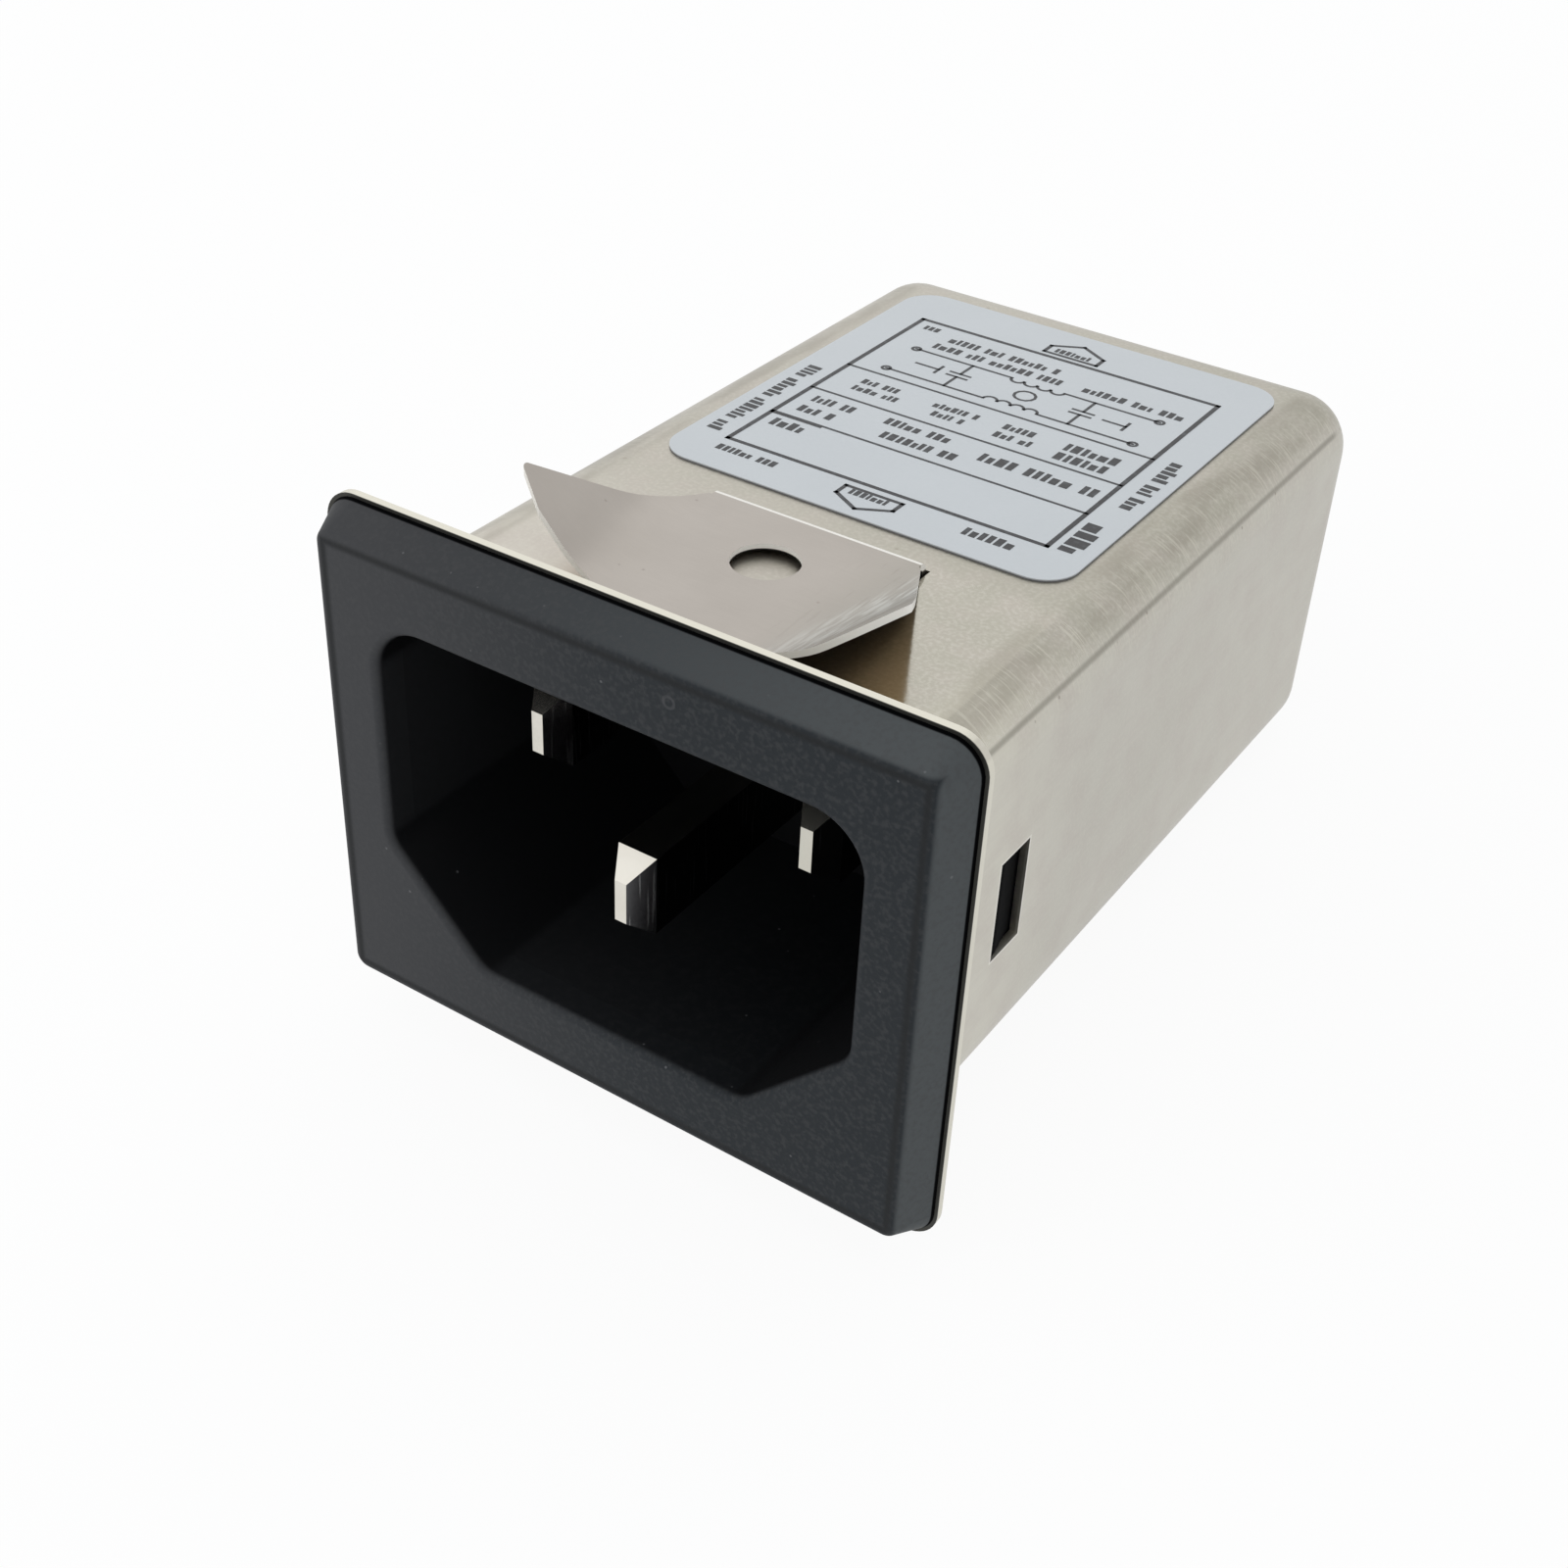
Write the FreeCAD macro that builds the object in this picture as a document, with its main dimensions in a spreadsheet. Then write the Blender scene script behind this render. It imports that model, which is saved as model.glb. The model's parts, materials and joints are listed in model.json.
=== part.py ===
import FreeCAD, Part
import math
import os
import re
import Sketcher
from FreeCAD import Placement, Rotation, Vector

# Power line filter with an appliance inlet, all lengths in millimetres.
# +Y runs from the socket into the equipment, +X is to the right, +Z is up.
# The origin is the middle of the panel seat, the rear face of the metal flange.

DIMENSIONS = {
    # Metal can, drawn in one piece with its flange
    "sheet_thickness": 0.4,
    "flange_side_reach": 2.2,
    "flange_top_reach": 2.9,
    "flange_corner": 1.6,
    "can_edge": 2.8,
    "can_rear_edge": 2.6,
    # Catch windows in the sides of the can
    "window_setback": 6.4,
    "window_length": 2.4,
    "window_height": 5.15,
    "window_drop": 0.4,
    # Slots for the spring clips in the top and bottom of the can
    "slot_to_floor": 4.2,
    "slot_length": 1.05,
    "slot_width": 11.0,
    # Black moulding: bezel, socket and floor
    "bezel_inset": 0.15,
    "bezel_thickness": 1.8,
    "bezel_corner": 1.5,
    "bezel_taper": 0.9,
    "bezel_edge": 0.35,
    "socket_width": 24.2,
    "socket_height": 16.4,
    "socket_side_wall": 1.25,
    "socket_top_wall": 1.15,
    "socket_bevel": 5.1,
    "socket_corner": 2.5,
    "socket_bevel_corner": 1.6,
    "socket_lip": 0.4,
    "socket_depth": 16.3,
    "floor_thickness": 2.5,
    "sleeve_clearance": 0.05,
    "core_wall": 1.2,
    "core_front_wall": 1.6,
    "latch_rise": 0.35,
    "latch_root": 0.6,
    "latch_clearance": 0.12,
    "clip_recess_depth": 0.6,
    "clip_recess_margin": 0.4,
    "ledge_width": 20.0,
    "ledge_clearance": 0.1,
    "ledge_thickness": 0.8,
    # Contact pins
    "pin_width": 2.0,
    "pin_height": 4.0,
    "pin_pitch": 14.0,
    "pin_rise": 2.45,
    "earth_pin_drop": 4.0,
    "pin_setback": 4.33,
    "earth_pin_setback": 1.1,
    "pin_tip_length": 1.2,
    "pin_tip_width": 0.6,
    "pin_tip_height": 2.1,
    "pin_clearance": 0.03,
    "tail_width": 1.2,
    "tail_thickness": 0.8,
    "tail_reach": 1.8,
    # Spring clips
    "clip_thickness": 0.3,
    "clip_lift": 0.25,
    "clip_front": 2.3,
    "clip_neck_width": 5.8,
    "clip_shoulder_width": 10.0,
    "clip_shoulder_setback": 3.1,
    "clip_wing_setback": 3.6,
    "clip_wing_width": 15.6,
    "clip_tip_width": 19.0,
    "clip_tip_setback": 4.7,
    "clip_tip_round": 0.4,
    "clip_bend_front": 6.0,
    "clip_bend_inset": 0.3,
    "clip_bend_radius": 5.0,
    "clip_bend_angle": 40.0,
    "clip_hole": 3.1,
    "clip_hole_to_slot": 3.4,
    "clip_slot_clearance": 0.15,
    "clip_hook_length": 2.0,
    "clip_hook_bend": 0.15,
    "clip_toe_front": 2.05,
    "clip_toe_length": 0.1,
    # Rating label
    "label_side_gap": 3.15,
    "label_front_gap": 1.95,
    "label_rear_gap": 3.3,
    "label_corner": 1.8,
    "label_thickness": 0.12,
    # Circuit board
    "board_standoff": 1.2,
    "board_thickness": 1.2,
    "board_side_gap": 1.1,
    "board_gap": 0.4,
    "board_rear_gap": 0.2,
    "board_corner": 1.0,
    "hole_clearance": 0.15,
    "lead_stub": 0.7,
    "lead_width": 0.7,
    # Common-mode choke
    "choke_gap": 0.45,
    "choke_standoff": 0.3,
    "choke_headroom": 0.8,
    "core_bore_share": 0.58,
    "core_length": 6.0,
    "winding_gap": 0.1,
    "wire_thickness": 0.9,
    "turn_rise": 0.15,
    "turn_angle": 10.0,
    "turn_count": 9,
    "winding_angle": 150.0,
    "winding_leg_width": 0.9,
    "winding_leg_pitch": 6.4,
    "winding_leg_spread": 5.4,
    "separator_thickness": 0.8,
    "separator_clearance": 0.1,
    # Line-to-line capacitor
    "x_capacitor_gap": 2.4,
    "x_capacitor_width": 13.0,
    "x_capacitor_length": 6.0,
    "x_capacitor_height": 12.0,
    "x_capacitor_edge": 0.6,
    "x_capacitor_lead_pitch": 10.0,
    # Line-to-earth capacitors
    "y_capacitor_diameter": 8.0,
    "y_capacitor_gap": 1.05,
    "y_capacitor_wall_gap": 1.3,
    "y_capacitor_standoff": 1.0,
    "y_capacitor_lead_pitch": 5.0,
    # Bleed resistor
    "resistor_gap": 0.85,
    "resistor_length": 6.3,
    "resistor_diameter": 2.4,
    "resistor_waist": 2.0,
    "resistor_cap_length": 1.4,
    "resistor_lead_pitch": 10.0,
    "resistor_standoff": 0.3,
    # Rear blade terminals and their insulator
    "tab_pitch": 7.0,
    "tab_width": 6.3,
    "tab_thickness": 0.8,
    "tab_gap": 0.6,
    "tab_depth": 4.7,
    "tab_reach": 7.2,
    "tab_bevel": 1.2,
    "tab_tip_chamfer": 0.2,
    "tab_hole": 1.7,
    "tab_hole_setback": 3.6,
    "tab_leg_width": 2.0,
    "insulator_gap": 0.2,
    "insulator_thickness": 1.8,
    "insulator_corner": 1.0,
    "collar_wall": 0.9,
    "collar_reach": 0.9,
    "collar_clearance": 0.1,
    "tab_clearance": 0.05,
    # Insulating liner under the board
    "liner_thickness": 0.25,
    "liner_clearance": 0.05,
    "liner_gap": 0.2,
    "liner_rise": 2.8,
    # Earth strap from the board to the wall of the can
    "strap_thickness": 0.4,
    "strap_width": 3.0,
    "strap_inset": 1.7,
    "strap_knee": 3.6,
    "strap_bend_angle": 45.0,
    "strap_pad": 4.0,
}

# Sizes and places worked out from the others, each an expression of their names
DERIVED = {
    # Across and up, from the socket outwards
    "sleeve_width": "socket_width + 2 * socket_side_wall",
    "sleeve_height": "socket_height + 2 * socket_top_wall",
    "inner_width": "sleeve_width + 2 * sleeve_clearance",
    "inner_height": "sleeve_height + 2 * sleeve_clearance",
    "inner_edge": "can_edge - sheet_thickness",
    "inner_rear_edge": "can_rear_edge - sheet_thickness",
    "can_width": "inner_width + 2 * sheet_thickness",
    "can_height": "inner_height + 2 * sheet_thickness",
    "can_top": "can_height / 2",
    "flange_width": "can_width + 2 * flange_side_reach",
    "flange_height": "can_height + 2 * flange_top_reach",
    "bezel_width": "flange_width - 2 * bezel_inset",
    "bezel_height": "flange_height - 2 * bezel_inset",
    "earth_pin_rise": "pin_rise - earth_pin_drop",
    # Along Y, from the bezel to the rear wall
    "bezel_front": "0 - bezel_thickness - sheet_thickness",
    "socket_floor": "bezel_front + socket_depth",
    "floor_back": "socket_floor + floor_thickness",
    "slot_front": "floor_back - slot_to_floor",
    "slot_back": "slot_front + slot_length",
    "clip_hole_place": "slot_front - clip_hole_to_slot",
    "clip_bend_rear": "slot_width - 2 * clip_bend_inset",
    "tail_back": "floor_back + tail_reach",
    "board_front": "floor_back + board_gap",
    "x_capacitor_place": "board_front + x_capacitor_gap + x_capacitor_length / 2",
    "strap_place": "x_capacitor_place",
    "choke_reach": "core_length / 2 + winding_gap + wire_thickness + turn_rise",
    "choke_place": "x_capacitor_place + x_capacitor_length / 2 + choke_gap + choke_reach",
    "resistor_place": "choke_place + choke_reach + resistor_gap + resistor_diameter / 2",
    "tab_root": "resistor_place + resistor_diameter / 2 + tab_gap",
    "board_back": "tab_root + tab_leg_width + board_rear_gap",
    "inner_back": "tab_root + tab_depth",
    "can_depth": "inner_back + sheet_thickness",
    "tab_end": "can_depth + collar_reach + tab_reach",
    # The label, between the top slot and the rear rounding
    "label_front": "slot_back + label_front_gap",
    "label_length": "can_depth - label_rear_gap - label_front",
    "label_width": "can_width - 2 * label_side_gap",
    # The board and what stands on it
    "board_width": "inner_width - 2 * board_side_gap",
    "board_length": "board_back - board_front",
    "board_bottom": "board_standoff - inner_height / 2",
    "board_top": "board_bottom + board_thickness",
    "lead_end": "board_bottom - lead_stub",
    "winding_build": "winding_gap + wire_thickness + turn_rise",
    "choke_room": "inner_height - board_standoff - board_thickness - choke_standoff - choke_headroom",
    "core_outer": "choke_room - 2 * winding_build",
    "core_inner": "core_bore_share * core_outer",
    "choke_rise": "board_top + choke_standoff + choke_room / 2",
    "y_capacitor_inside": "choke_room / 2 + y_capacitor_gap",
    "y_capacitor_thickness": "inner_width / 2 - y_capacitor_wall_gap - y_capacitor_inside",
    "y_capacitor_side": "y_capacitor_inside + y_capacitor_thickness / 2",
    "y_capacitor_rise": "board_top + y_capacitor_standoff + y_capacitor_diameter / 2",
    "resistor_rise": "board_top + resistor_standoff + resistor_diameter / 2",
    "strap_right": "inner_width / 2 - strap_inset",
    # The rear insulator and its collars
    "insulator_width": "inner_width - 2 * inner_rear_edge - 2 * insulator_gap",
    "insulator_height": "inner_height - 2 * inner_rear_edge - 2 * insulator_gap",
    "tab_slot_width": "tab_thickness + 2 * tab_clearance",
    "tab_slot_height": "tab_width + 2 * tab_clearance",
    "collar_width": "tab_slot_width + 2 * collar_wall",
    "collar_height": "tab_slot_height + 2 * collar_wall",
}

LINE_PIN_PLACE, EARTH_PIN_PLACE, NEUTRAL_PIN_PLACE = "(0 - pin_pitch / 2)", "0", "(pin_pitch / 2)"
PIN_PLACES = {
    LINE_PIN_PLACE: "pin_rise",
    EARTH_PIN_PLACE: "earth_pin_rise",
    NEUTRAL_PIN_PLACE: "pin_rise",
}

TOLERANCE = 1e-4
HALF_TURN = 180
FULL_TURN = 360

document = FreeCAD.newDocument("power_line_filter")
sheet = document.addObject("Spreadsheet::Sheet", "sizes")
subparts = []


def fill_sheet():
    for row, (name, size) in enumerate(DIMENSIONS.items(), start=1):
        sheet.set(f"A{row}", name)
        sheet.set(f"B{row}", str(size))
        sheet.setAlias(f"B{row}", name)
    document.recompute()


def on_sheet(text):
    """Writes an expression so that its size names point at the sheet."""
    def point(match):
        word = match.group()
        if word in DERIVED:
            return f"({on_sheet(DERIVED[word])})"
        return f"sizes.{word}" if word in DIMENSIONS else word
    return re.sub(r"[a-z_]+", point, text)


def value(text):
    """The present value of an expression."""
    return float(sheet.evalExpression(on_sheet(text)))


def tie(thing, name, text):
    """Binds a property of an object to an expression."""
    thing.setExpression(name, on_sheet(text))


def keep(thing, label):
    """Takes an object as the finished sub-part of that name."""
    thing.Label = label
    subparts.append(thing)
    return thing


def new_body(label, x="0", y="0", z="0"):
    body = keep(document.addObject("PartDesign::Body", label), label)
    for axis, place in (("x", x), ("y", y), ("z", z)):
        tie(body, f".Placement.Base.{axis}", place)
    return body


def origin_feature(body, role):
    return next(feature for feature in body.Origin.OriginFeatures if feature.Role == role)


def place_rules(geometry, point, x, y):
    """What holds one point of a sketch at a place given by two expressions."""
    return [
        (Sketcher.Constraint("DistanceX", -1, 1, geometry, point, value(x)), x),
        (Sketcher.Constraint("DistanceY", -1, 1, geometry, point, value(y)), y),
    ]


def add_rules(sketch, rules):
    """Adds constraints to a sketch, each tied to its expression if it has one."""
    numbers = sketch.addConstraint([rule for rule, text in rules])
    for number, (rule, text) in zip(numbers, rules):
        if text:
            tie(sketch, f"Constraints[{number}]", text)


def arc_between(start, end, radius, turn):
    """The shorter arc of a radius from start to end, turning left or right."""
    side = 1 if turn == "left" else -1
    chord = end - start
    across = Vector(-chord.y, chord.x, 0).normalize() * side
    rise = math.sqrt(max(radius ** 2 - (chord.Length / 2) ** 2, 0))
    centre = start + chord / 2 + across * rise
    first, last = (start, end) if turn == "left" else (end, start)
    angles = [math.atan2(point.y - centre.y, point.x - centre.x) for point in (first, last)]
    return Part.ArcOfCircle(Part.Circle(centre, Vector(0, 0, 1), radius), *angles)


def draw_outline(sketch, points, closed=True):
    """Draws lines and arcs through points (x, y) or (x, y, radius, turn).

    A radius makes the stretch to the next point an arc that turns left or right.
    """
    count = len(points)
    stretches = count if closed else count - 1
    first = sketch.GeometryCount
    corners = [Vector(value(point[0]), value(point[1]), 0) for point in points]
    ends, rules = [], []
    for index in range(stretches):
        start, end, bend = corners[index], corners[(index + 1) % count], points[index][2:]
        if bend:
            sketch.addGeometry(arc_between(start, end, value(bend[0]), bend[1]), False)
        else:
            sketch.addGeometry(Part.LineSegment(start, end), False)
        ends.append((2, 1) if bend and bend[1] == "right" else (1, 2))
    for index in range(stretches - (0 if closed else 1)):
        following = (index + 1) % stretches
        meeting = (first + index, ends[index][1], first + following, ends[following][0])
        rules.append((Sketcher.Constraint("Coincident", *meeting), None))
    for index in range(stretches):
        rules += place_rules(first + index, ends[index][0], *points[index][:2])
        if points[index][2:]:
            radius = points[index][2]
            rules.append((Sketcher.Constraint("Radius", first + index, value(radius)), radius))
    if not closed:
        rules += place_rules(first + stretches - 1, ends[-1][1], *points[-1][:2])
    add_rules(sketch, rules)


def draw_circle(sketch, x, y, diameter):
    centre = Vector(value(x), value(y), 0)
    circle = Part.Circle(centre, Vector(0, 0, 1), value(diameter) / 2)
    geometry = sketch.addGeometry(circle, False)
    width = (Sketcher.Constraint("Diameter", geometry, value(diameter)), diameter)
    add_rules(sketch, place_rules(geometry, 3, x, y) + [width])


def rectangle(width, height, x="0", y="0"):
    """The corners of a rectangle about a middle point."""
    left, right = f"{x} - {width} / 2", f"{x} + {width} / 2"
    low, high = f"{y} - {height} / 2", f"{y} + {height} / 2"
    return [(left, low), (right, low), (right, high), (left, high)]


def eight_sided(width, x="0", y="0"):
    """An octagon about a middle point, as wide across its flats as given."""
    half, near = f"({width} / 2)", f"({width} / 2 * (sqrt(2) - 1))"
    left, low = f"{x} - {half}", f"{y} - {half}"
    right, high = f"{x} + {half}", f"{y} + {half}"
    return [
        (f"{x} - {near}", low),
        (f"{x} + {near}", low),
        (right, f"{y} - {near}"),
        (right, f"{y} + {near}"),
        (f"{x} + {near}", high),
        (f"{x} - {near}", high),
        (left, f"{y} + {near}"),
        (left, f"{y} - {near}"),
    ]


def rounded_rectangle(width, height, corner, y="0"):
    """A rectangle with round corners, centred across and at a height y."""
    left, right = f"0 - {width} / 2", f"{width} / 2"
    low, high = f"{y} - {height} / 2", f"{y} + {height} / 2"
    return [
        (f"{left} + {corner}", low),
        (f"{right} - {corner}", low, corner, "left"),
        (right, f"{low} + {corner}"),
        (right, f"{high} - {corner}", corner, "left"),
        (f"{right} - {corner}", high),
        (f"{left} + {corner}", high, corner, "left"),
        (left, f"{high} - {corner}"),
        (left, f"{low} + {corner}", corner, "left"),
    ]


def body_sketch(body, name, role, lift="0"):
    """A sketch on one of the body's own planes, moved along the plane's normal."""
    sketch = body.newObject("Sketcher::SketchObject", name)
    sketch.AttachmentSupport = [(origin_feature(body, role), "")]
    sketch.MapMode = "FlatFace"
    tie(sketch, ".AttachmentOffset.Base.z", lift)
    return sketch


def front_sketch(body, name, *outlines, y="0"):
    """Outlines in x and z on a plane that faces the socket, at a place along Y."""
    sketch = body_sketch(body, name, "XZ_Plane", f"0 - {y}")
    for outline in outlines:
        draw_outline(sketch, outline)
    return sketch


def side_sketch(body, name, *outlines):
    """Outlines in y and z on the plane across X."""
    sketch = body_sketch(body, name, "YZ_Plane")
    for outline in outlines:
        draw_outline(sketch, outline)
    return sketch


def top_sketch(body, name, *outlines, z="0"):
    """Outlines in x and y on a level plane."""
    sketch = body_sketch(body, name, "XY_Plane", z)
    for outline in outlines:
        draw_outline(sketch, outline)
    return sketch


def pad(body, name, sketch, length, reverse=False, both=False):
    feature = body.newObject("PartDesign::Pad", name)
    feature.Profile = sketch
    tie(feature, "Length", length)
    feature.Reversed = reverse
    feature.SideType = "Symmetric" if both else "One side"
    document.recompute()
    return feature


def pocket(body, name, sketch, length=None, reverse=False, both=False):
    """Cuts a sketch into the body, right through where no length is given."""
    before = body.Shape.Volume
    feature = body.newObject("PartDesign::Pocket", name)
    feature.Profile = sketch
    feature.Reversed = reverse
    feature.SideType = "Symmetric" if both else "One side"
    if length is None:
        feature.Type = "ThroughAll"
    else:
        tie(feature, "Length", length)
    document.recompute()
    if body.Shape.Volume > before - TOLERANCE:
        raise RuntimeError(f"{name} cuts nothing")
    return feature


def mirror(body, name, feature, role):
    copy = body.newObject("PartDesign::Mirrored", name)
    copy.Originals = [feature]
    copy.MirrorPlane = (origin_feature(body, role), [""])
    body.Tip = copy
    document.recompute()
    return copy


def dress(body, kind, name, size_name, size, chosen):
    """Adds a fillet or chamfer on the edges that a test chooses."""
    base = body.Tip
    edges = [f"Edge{number}" for number, edge in enumerate(base.Shape.Edges, 1) if chosen(edge)]
    feature = body.newObject(kind, name)
    feature.Base = (base, edges)
    tie(feature, size_name, size)
    document.recompute()
    return feature


def fillet(body, name, radius, chosen):
    return dress(body, "PartDesign::Fillet", name, "Radius", radius, chosen)


def chamfer(body, name, size, chosen):
    return dress(body, "PartDesign::Chamfer", name, "Size", size, chosen)


def runs_along(edge, axis):
    """True for a straight edge parallel to an axis."""
    if not isinstance(edge.Curve, Part.Line):
        return False
    run = edge.Vertexes[-1].Point - edge.Vertexes[0].Point
    return abs(abs(getattr(run, axis)) - run.Length) < TOLERANCE


def lies_at(edge, axis, place):
    """True where a whole edge lies in the plane at that place on an axis."""
    box = edge.BoundBox
    low, high = getattr(box, f"{axis.upper()}Min"), getattr(box, f"{axis.upper()}Max")
    return abs(low - place) < TOLERANCE and abs(high - place) < TOLERANCE


def terminal_places():
    """The three terminals side by side: line, earth and neutral."""
    return {"line": "(0 - tab_pitch)", "earth": "0", "neutral": "tab_pitch"}


def make_shield_can():
    can = new_body("shield_can")
    shell = rounded_rectangle("can_width", "can_height", "can_edge")
    block = front_sketch(can, "can_outline", shell, y="(0 - sheet_thickness)")
    pad(can, "can_block", block, "can_depth + sheet_thickness", reverse=True)
    fillet(can, "can_rear_rounding", "can_rear_edge", lambda edge: lies_at(edge, "y", value("can_depth")))

    hollow = document.addObject("PartDesign::Body", "can_hollow")
    room = rounded_rectangle("inner_width", "inner_height", "inner_edge")
    sketch = front_sketch(hollow, "can_hollow_outline", room, y="(0 - sheet_thickness)")
    pad(hollow, "can_room", sketch, "inner_back + sheet_thickness", reverse=True)
    chamfer(hollow, "can_room_bevel", "inner_rear_edge",
            lambda edge: lies_at(edge, "y", value("inner_back")))
    walls = can.newObject("PartDesign::Boolean", "can_walls")
    walls.setObjects([hollow])
    walls.Type = "Cut"
    document.recompute()

    rim = rounded_rectangle("flange_width", "flange_height", "flange_corner")
    hole = rounded_rectangle("inner_width", "inner_height", "inner_edge")
    flange = front_sketch(can, "flange_outline", rim, hole)
    pad(can, "flange", flange, "sheet_thickness")

    window = [
        ("window_setback", "(0 - window_drop) - window_height / 2"),
        ("window_setback + window_length", "(0 - window_drop) - window_height / 2"),
        ("window_setback + window_length", "window_height / 2 - window_drop"),
        ("window_setback", "window_height / 2 - window_drop"),
    ]
    pocket(can, "side_windows", side_sketch(can, "window_outline", window), "flange_width", both=True)

    slot = rectangle("slot_width", "slot_length", y="(slot_front + slot_length / 2)")
    pocket(can, "clip_slots", top_sketch(can, "slot_outline", slot), "flange_height", both=True)

    width = "(collar_width + 2 * collar_clearance)"
    height = "(collar_height + 2 * collar_clearance)"
    openings = [rectangle(width, height, x=place) for place in terminal_places().values()]
    rear = front_sketch(can, "terminal_openings_outline", *openings, y="inner_back")
    pocket(can, "terminal_openings", rear, "sheet_thickness")
    return can


def socket_outline():
    """The socket's outline, with its two lower corners cut off."""
    side, top = "socket_width / 2", "socket_height / 2"
    return [
        (f"socket_bevel - {side}", f"0 - {top}"),
        (f"{side} - socket_bevel", f"0 - {top}"),
        (side, f"socket_bevel - {top}"),
        (side, top),
        (f"0 - {side}", top),
        (f"0 - {side}", f"socket_bevel - {top}"),
    ]


def corner_core_outline(side):
    """The hollow that thins the wall behind one bevelled corner of the socket."""
    outer = "(sleeve_width / 2 - core_wall)"
    low = "(core_wall - sleeve_height / 2)"
    bevel = "((socket_width + socket_height) / 2 - socket_bevel + core_wall * sqrt(2))"
    points = [(outer, f"{outer} - {bevel}"), (outer, low), (f"{bevel} + {low}", low)]
    return [(f"{side} * {x}", z) for x, z in points]


def make_inlet_housing():
    housing = new_body("inlet_housing")
    bezel = rounded_rectangle("bezel_width", "bezel_height", "bezel_corner")
    sketch = front_sketch(housing, "bezel_outline", bezel, y="(0 - sheet_thickness)")
    frame = pad(housing, "bezel", sketch, "bezel_thickness")
    tie(frame, "TaperAngle", "atan(0 - bezel_taper / bezel_thickness)")
    document.recompute()
    fillet(housing, "bezel_rounding", "bezel_edge", lambda edge: lies_at(edge, "y", value("bezel_front")))

    edge_radius = "(inner_edge - sleeve_clearance)"
    sleeve = rounded_rectangle("sleeve_width", "sleeve_height", edge_radius)
    sketch = front_sketch(housing, "sleeve_outline", sleeve, y="(0 - sheet_thickness)")
    pad(housing, "sleeve", sketch, "floor_back + sheet_thickness", reverse=True)

    sketch = front_sketch(housing, "socket_outline", socket_outline(), y="bezel_front")
    pocket(housing, "socket", sketch, "socket_depth")
    half_width, half_height = value("socket_width / 2"), value("socket_height / 2")

    def in_socket(edge):
        centre = edge.CenterOfMass
        return abs(centre.x) < half_width + TOLERANCE and abs(centre.z) < half_height + TOLERANCE

    def upper_corner(edge):
        return runs_along(edge, "y") and in_socket(edge) and edge.CenterOfMass.z > half_height - TOLERANCE

    def lower_corner(edge):
        return runs_along(edge, "y") and in_socket(edge) and edge.CenterOfMass.z < 0

    def mouth(edge):
        return lies_at(edge, "y", value("bezel_front")) and in_socket(edge)

    fillet(housing, "socket_upper_corners", "socket_corner", upper_corner)
    fillet(housing, "socket_lower_corners", "socket_bevel_corner", lower_corner)
    fillet(housing, "socket_lip", "socket_lip", mouth)

    width, height = "(pin_width + 2 * pin_clearance)", "(pin_height + 2 * pin_clearance)"
    slots = [rectangle(width, height, x=x, y=z) for x, z in PIN_PLACES.items()]
    sketch = front_sketch(housing, "pin_slots_outline", *slots, y="socket_floor")
    pocket(housing, "pin_slots", sketch, "floor_thickness")

    recess_front = "(slot_front - clip_recess_margin)"
    recess = rectangle(
        "(slot_width + 2 * clip_recess_margin)", f"(floor_back - {recess_front})",
        y=f"((floor_back + {recess_front}) / 2)")
    sketch = top_sketch(housing, "clip_recess_outline", recess, z="(sleeve_height / 2)")
    upper = pocket(housing, "upper_clip_recess", sketch, "clip_recess_depth")
    mirror(housing, "lower_clip_recess", upper, "XY_Plane")

    wall = "(sleeve_width / 2)"
    catch = "(window_setback + latch_clearance)"
    toe = "(window_setback + window_length - latch_clearance)"
    latch = [
        (f"{wall} - latch_root", catch),
        (f"{wall} + latch_rise", catch),
        (f"{wall} + latch_rise", f"{catch} + latch_rise"),
        (wall, toe),
        (f"{wall} - latch_root", toe),
    ]
    sketch = top_sketch(housing, "latch_outline", latch, z="(0 - window_drop)")
    right = pad(housing, "right_latch", sketch, "window_height - 2 * latch_clearance", both=True)
    mirror(housing, "left_latch", right, "YZ_Plane")

    ledge = rectangle("ledge_width", "ledge_thickness", y="(board_bottom - ledge_thickness / 2)")
    sketch = front_sketch(housing, "board_ledge_outline", ledge, y="floor_back")
    pad(housing, "board_ledge", sketch, "tail_reach - tail_thickness - ledge_clearance", reverse=True)

    cores = [corner_core_outline("1"), corner_core_outline("-1")]
    sketch = front_sketch(housing, "corner_cores_outline", *cores, y="floor_back")
    pocket(housing, "corner_cores", sketch, "floor_back - core_front_wall", reverse=True)
    return housing


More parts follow.
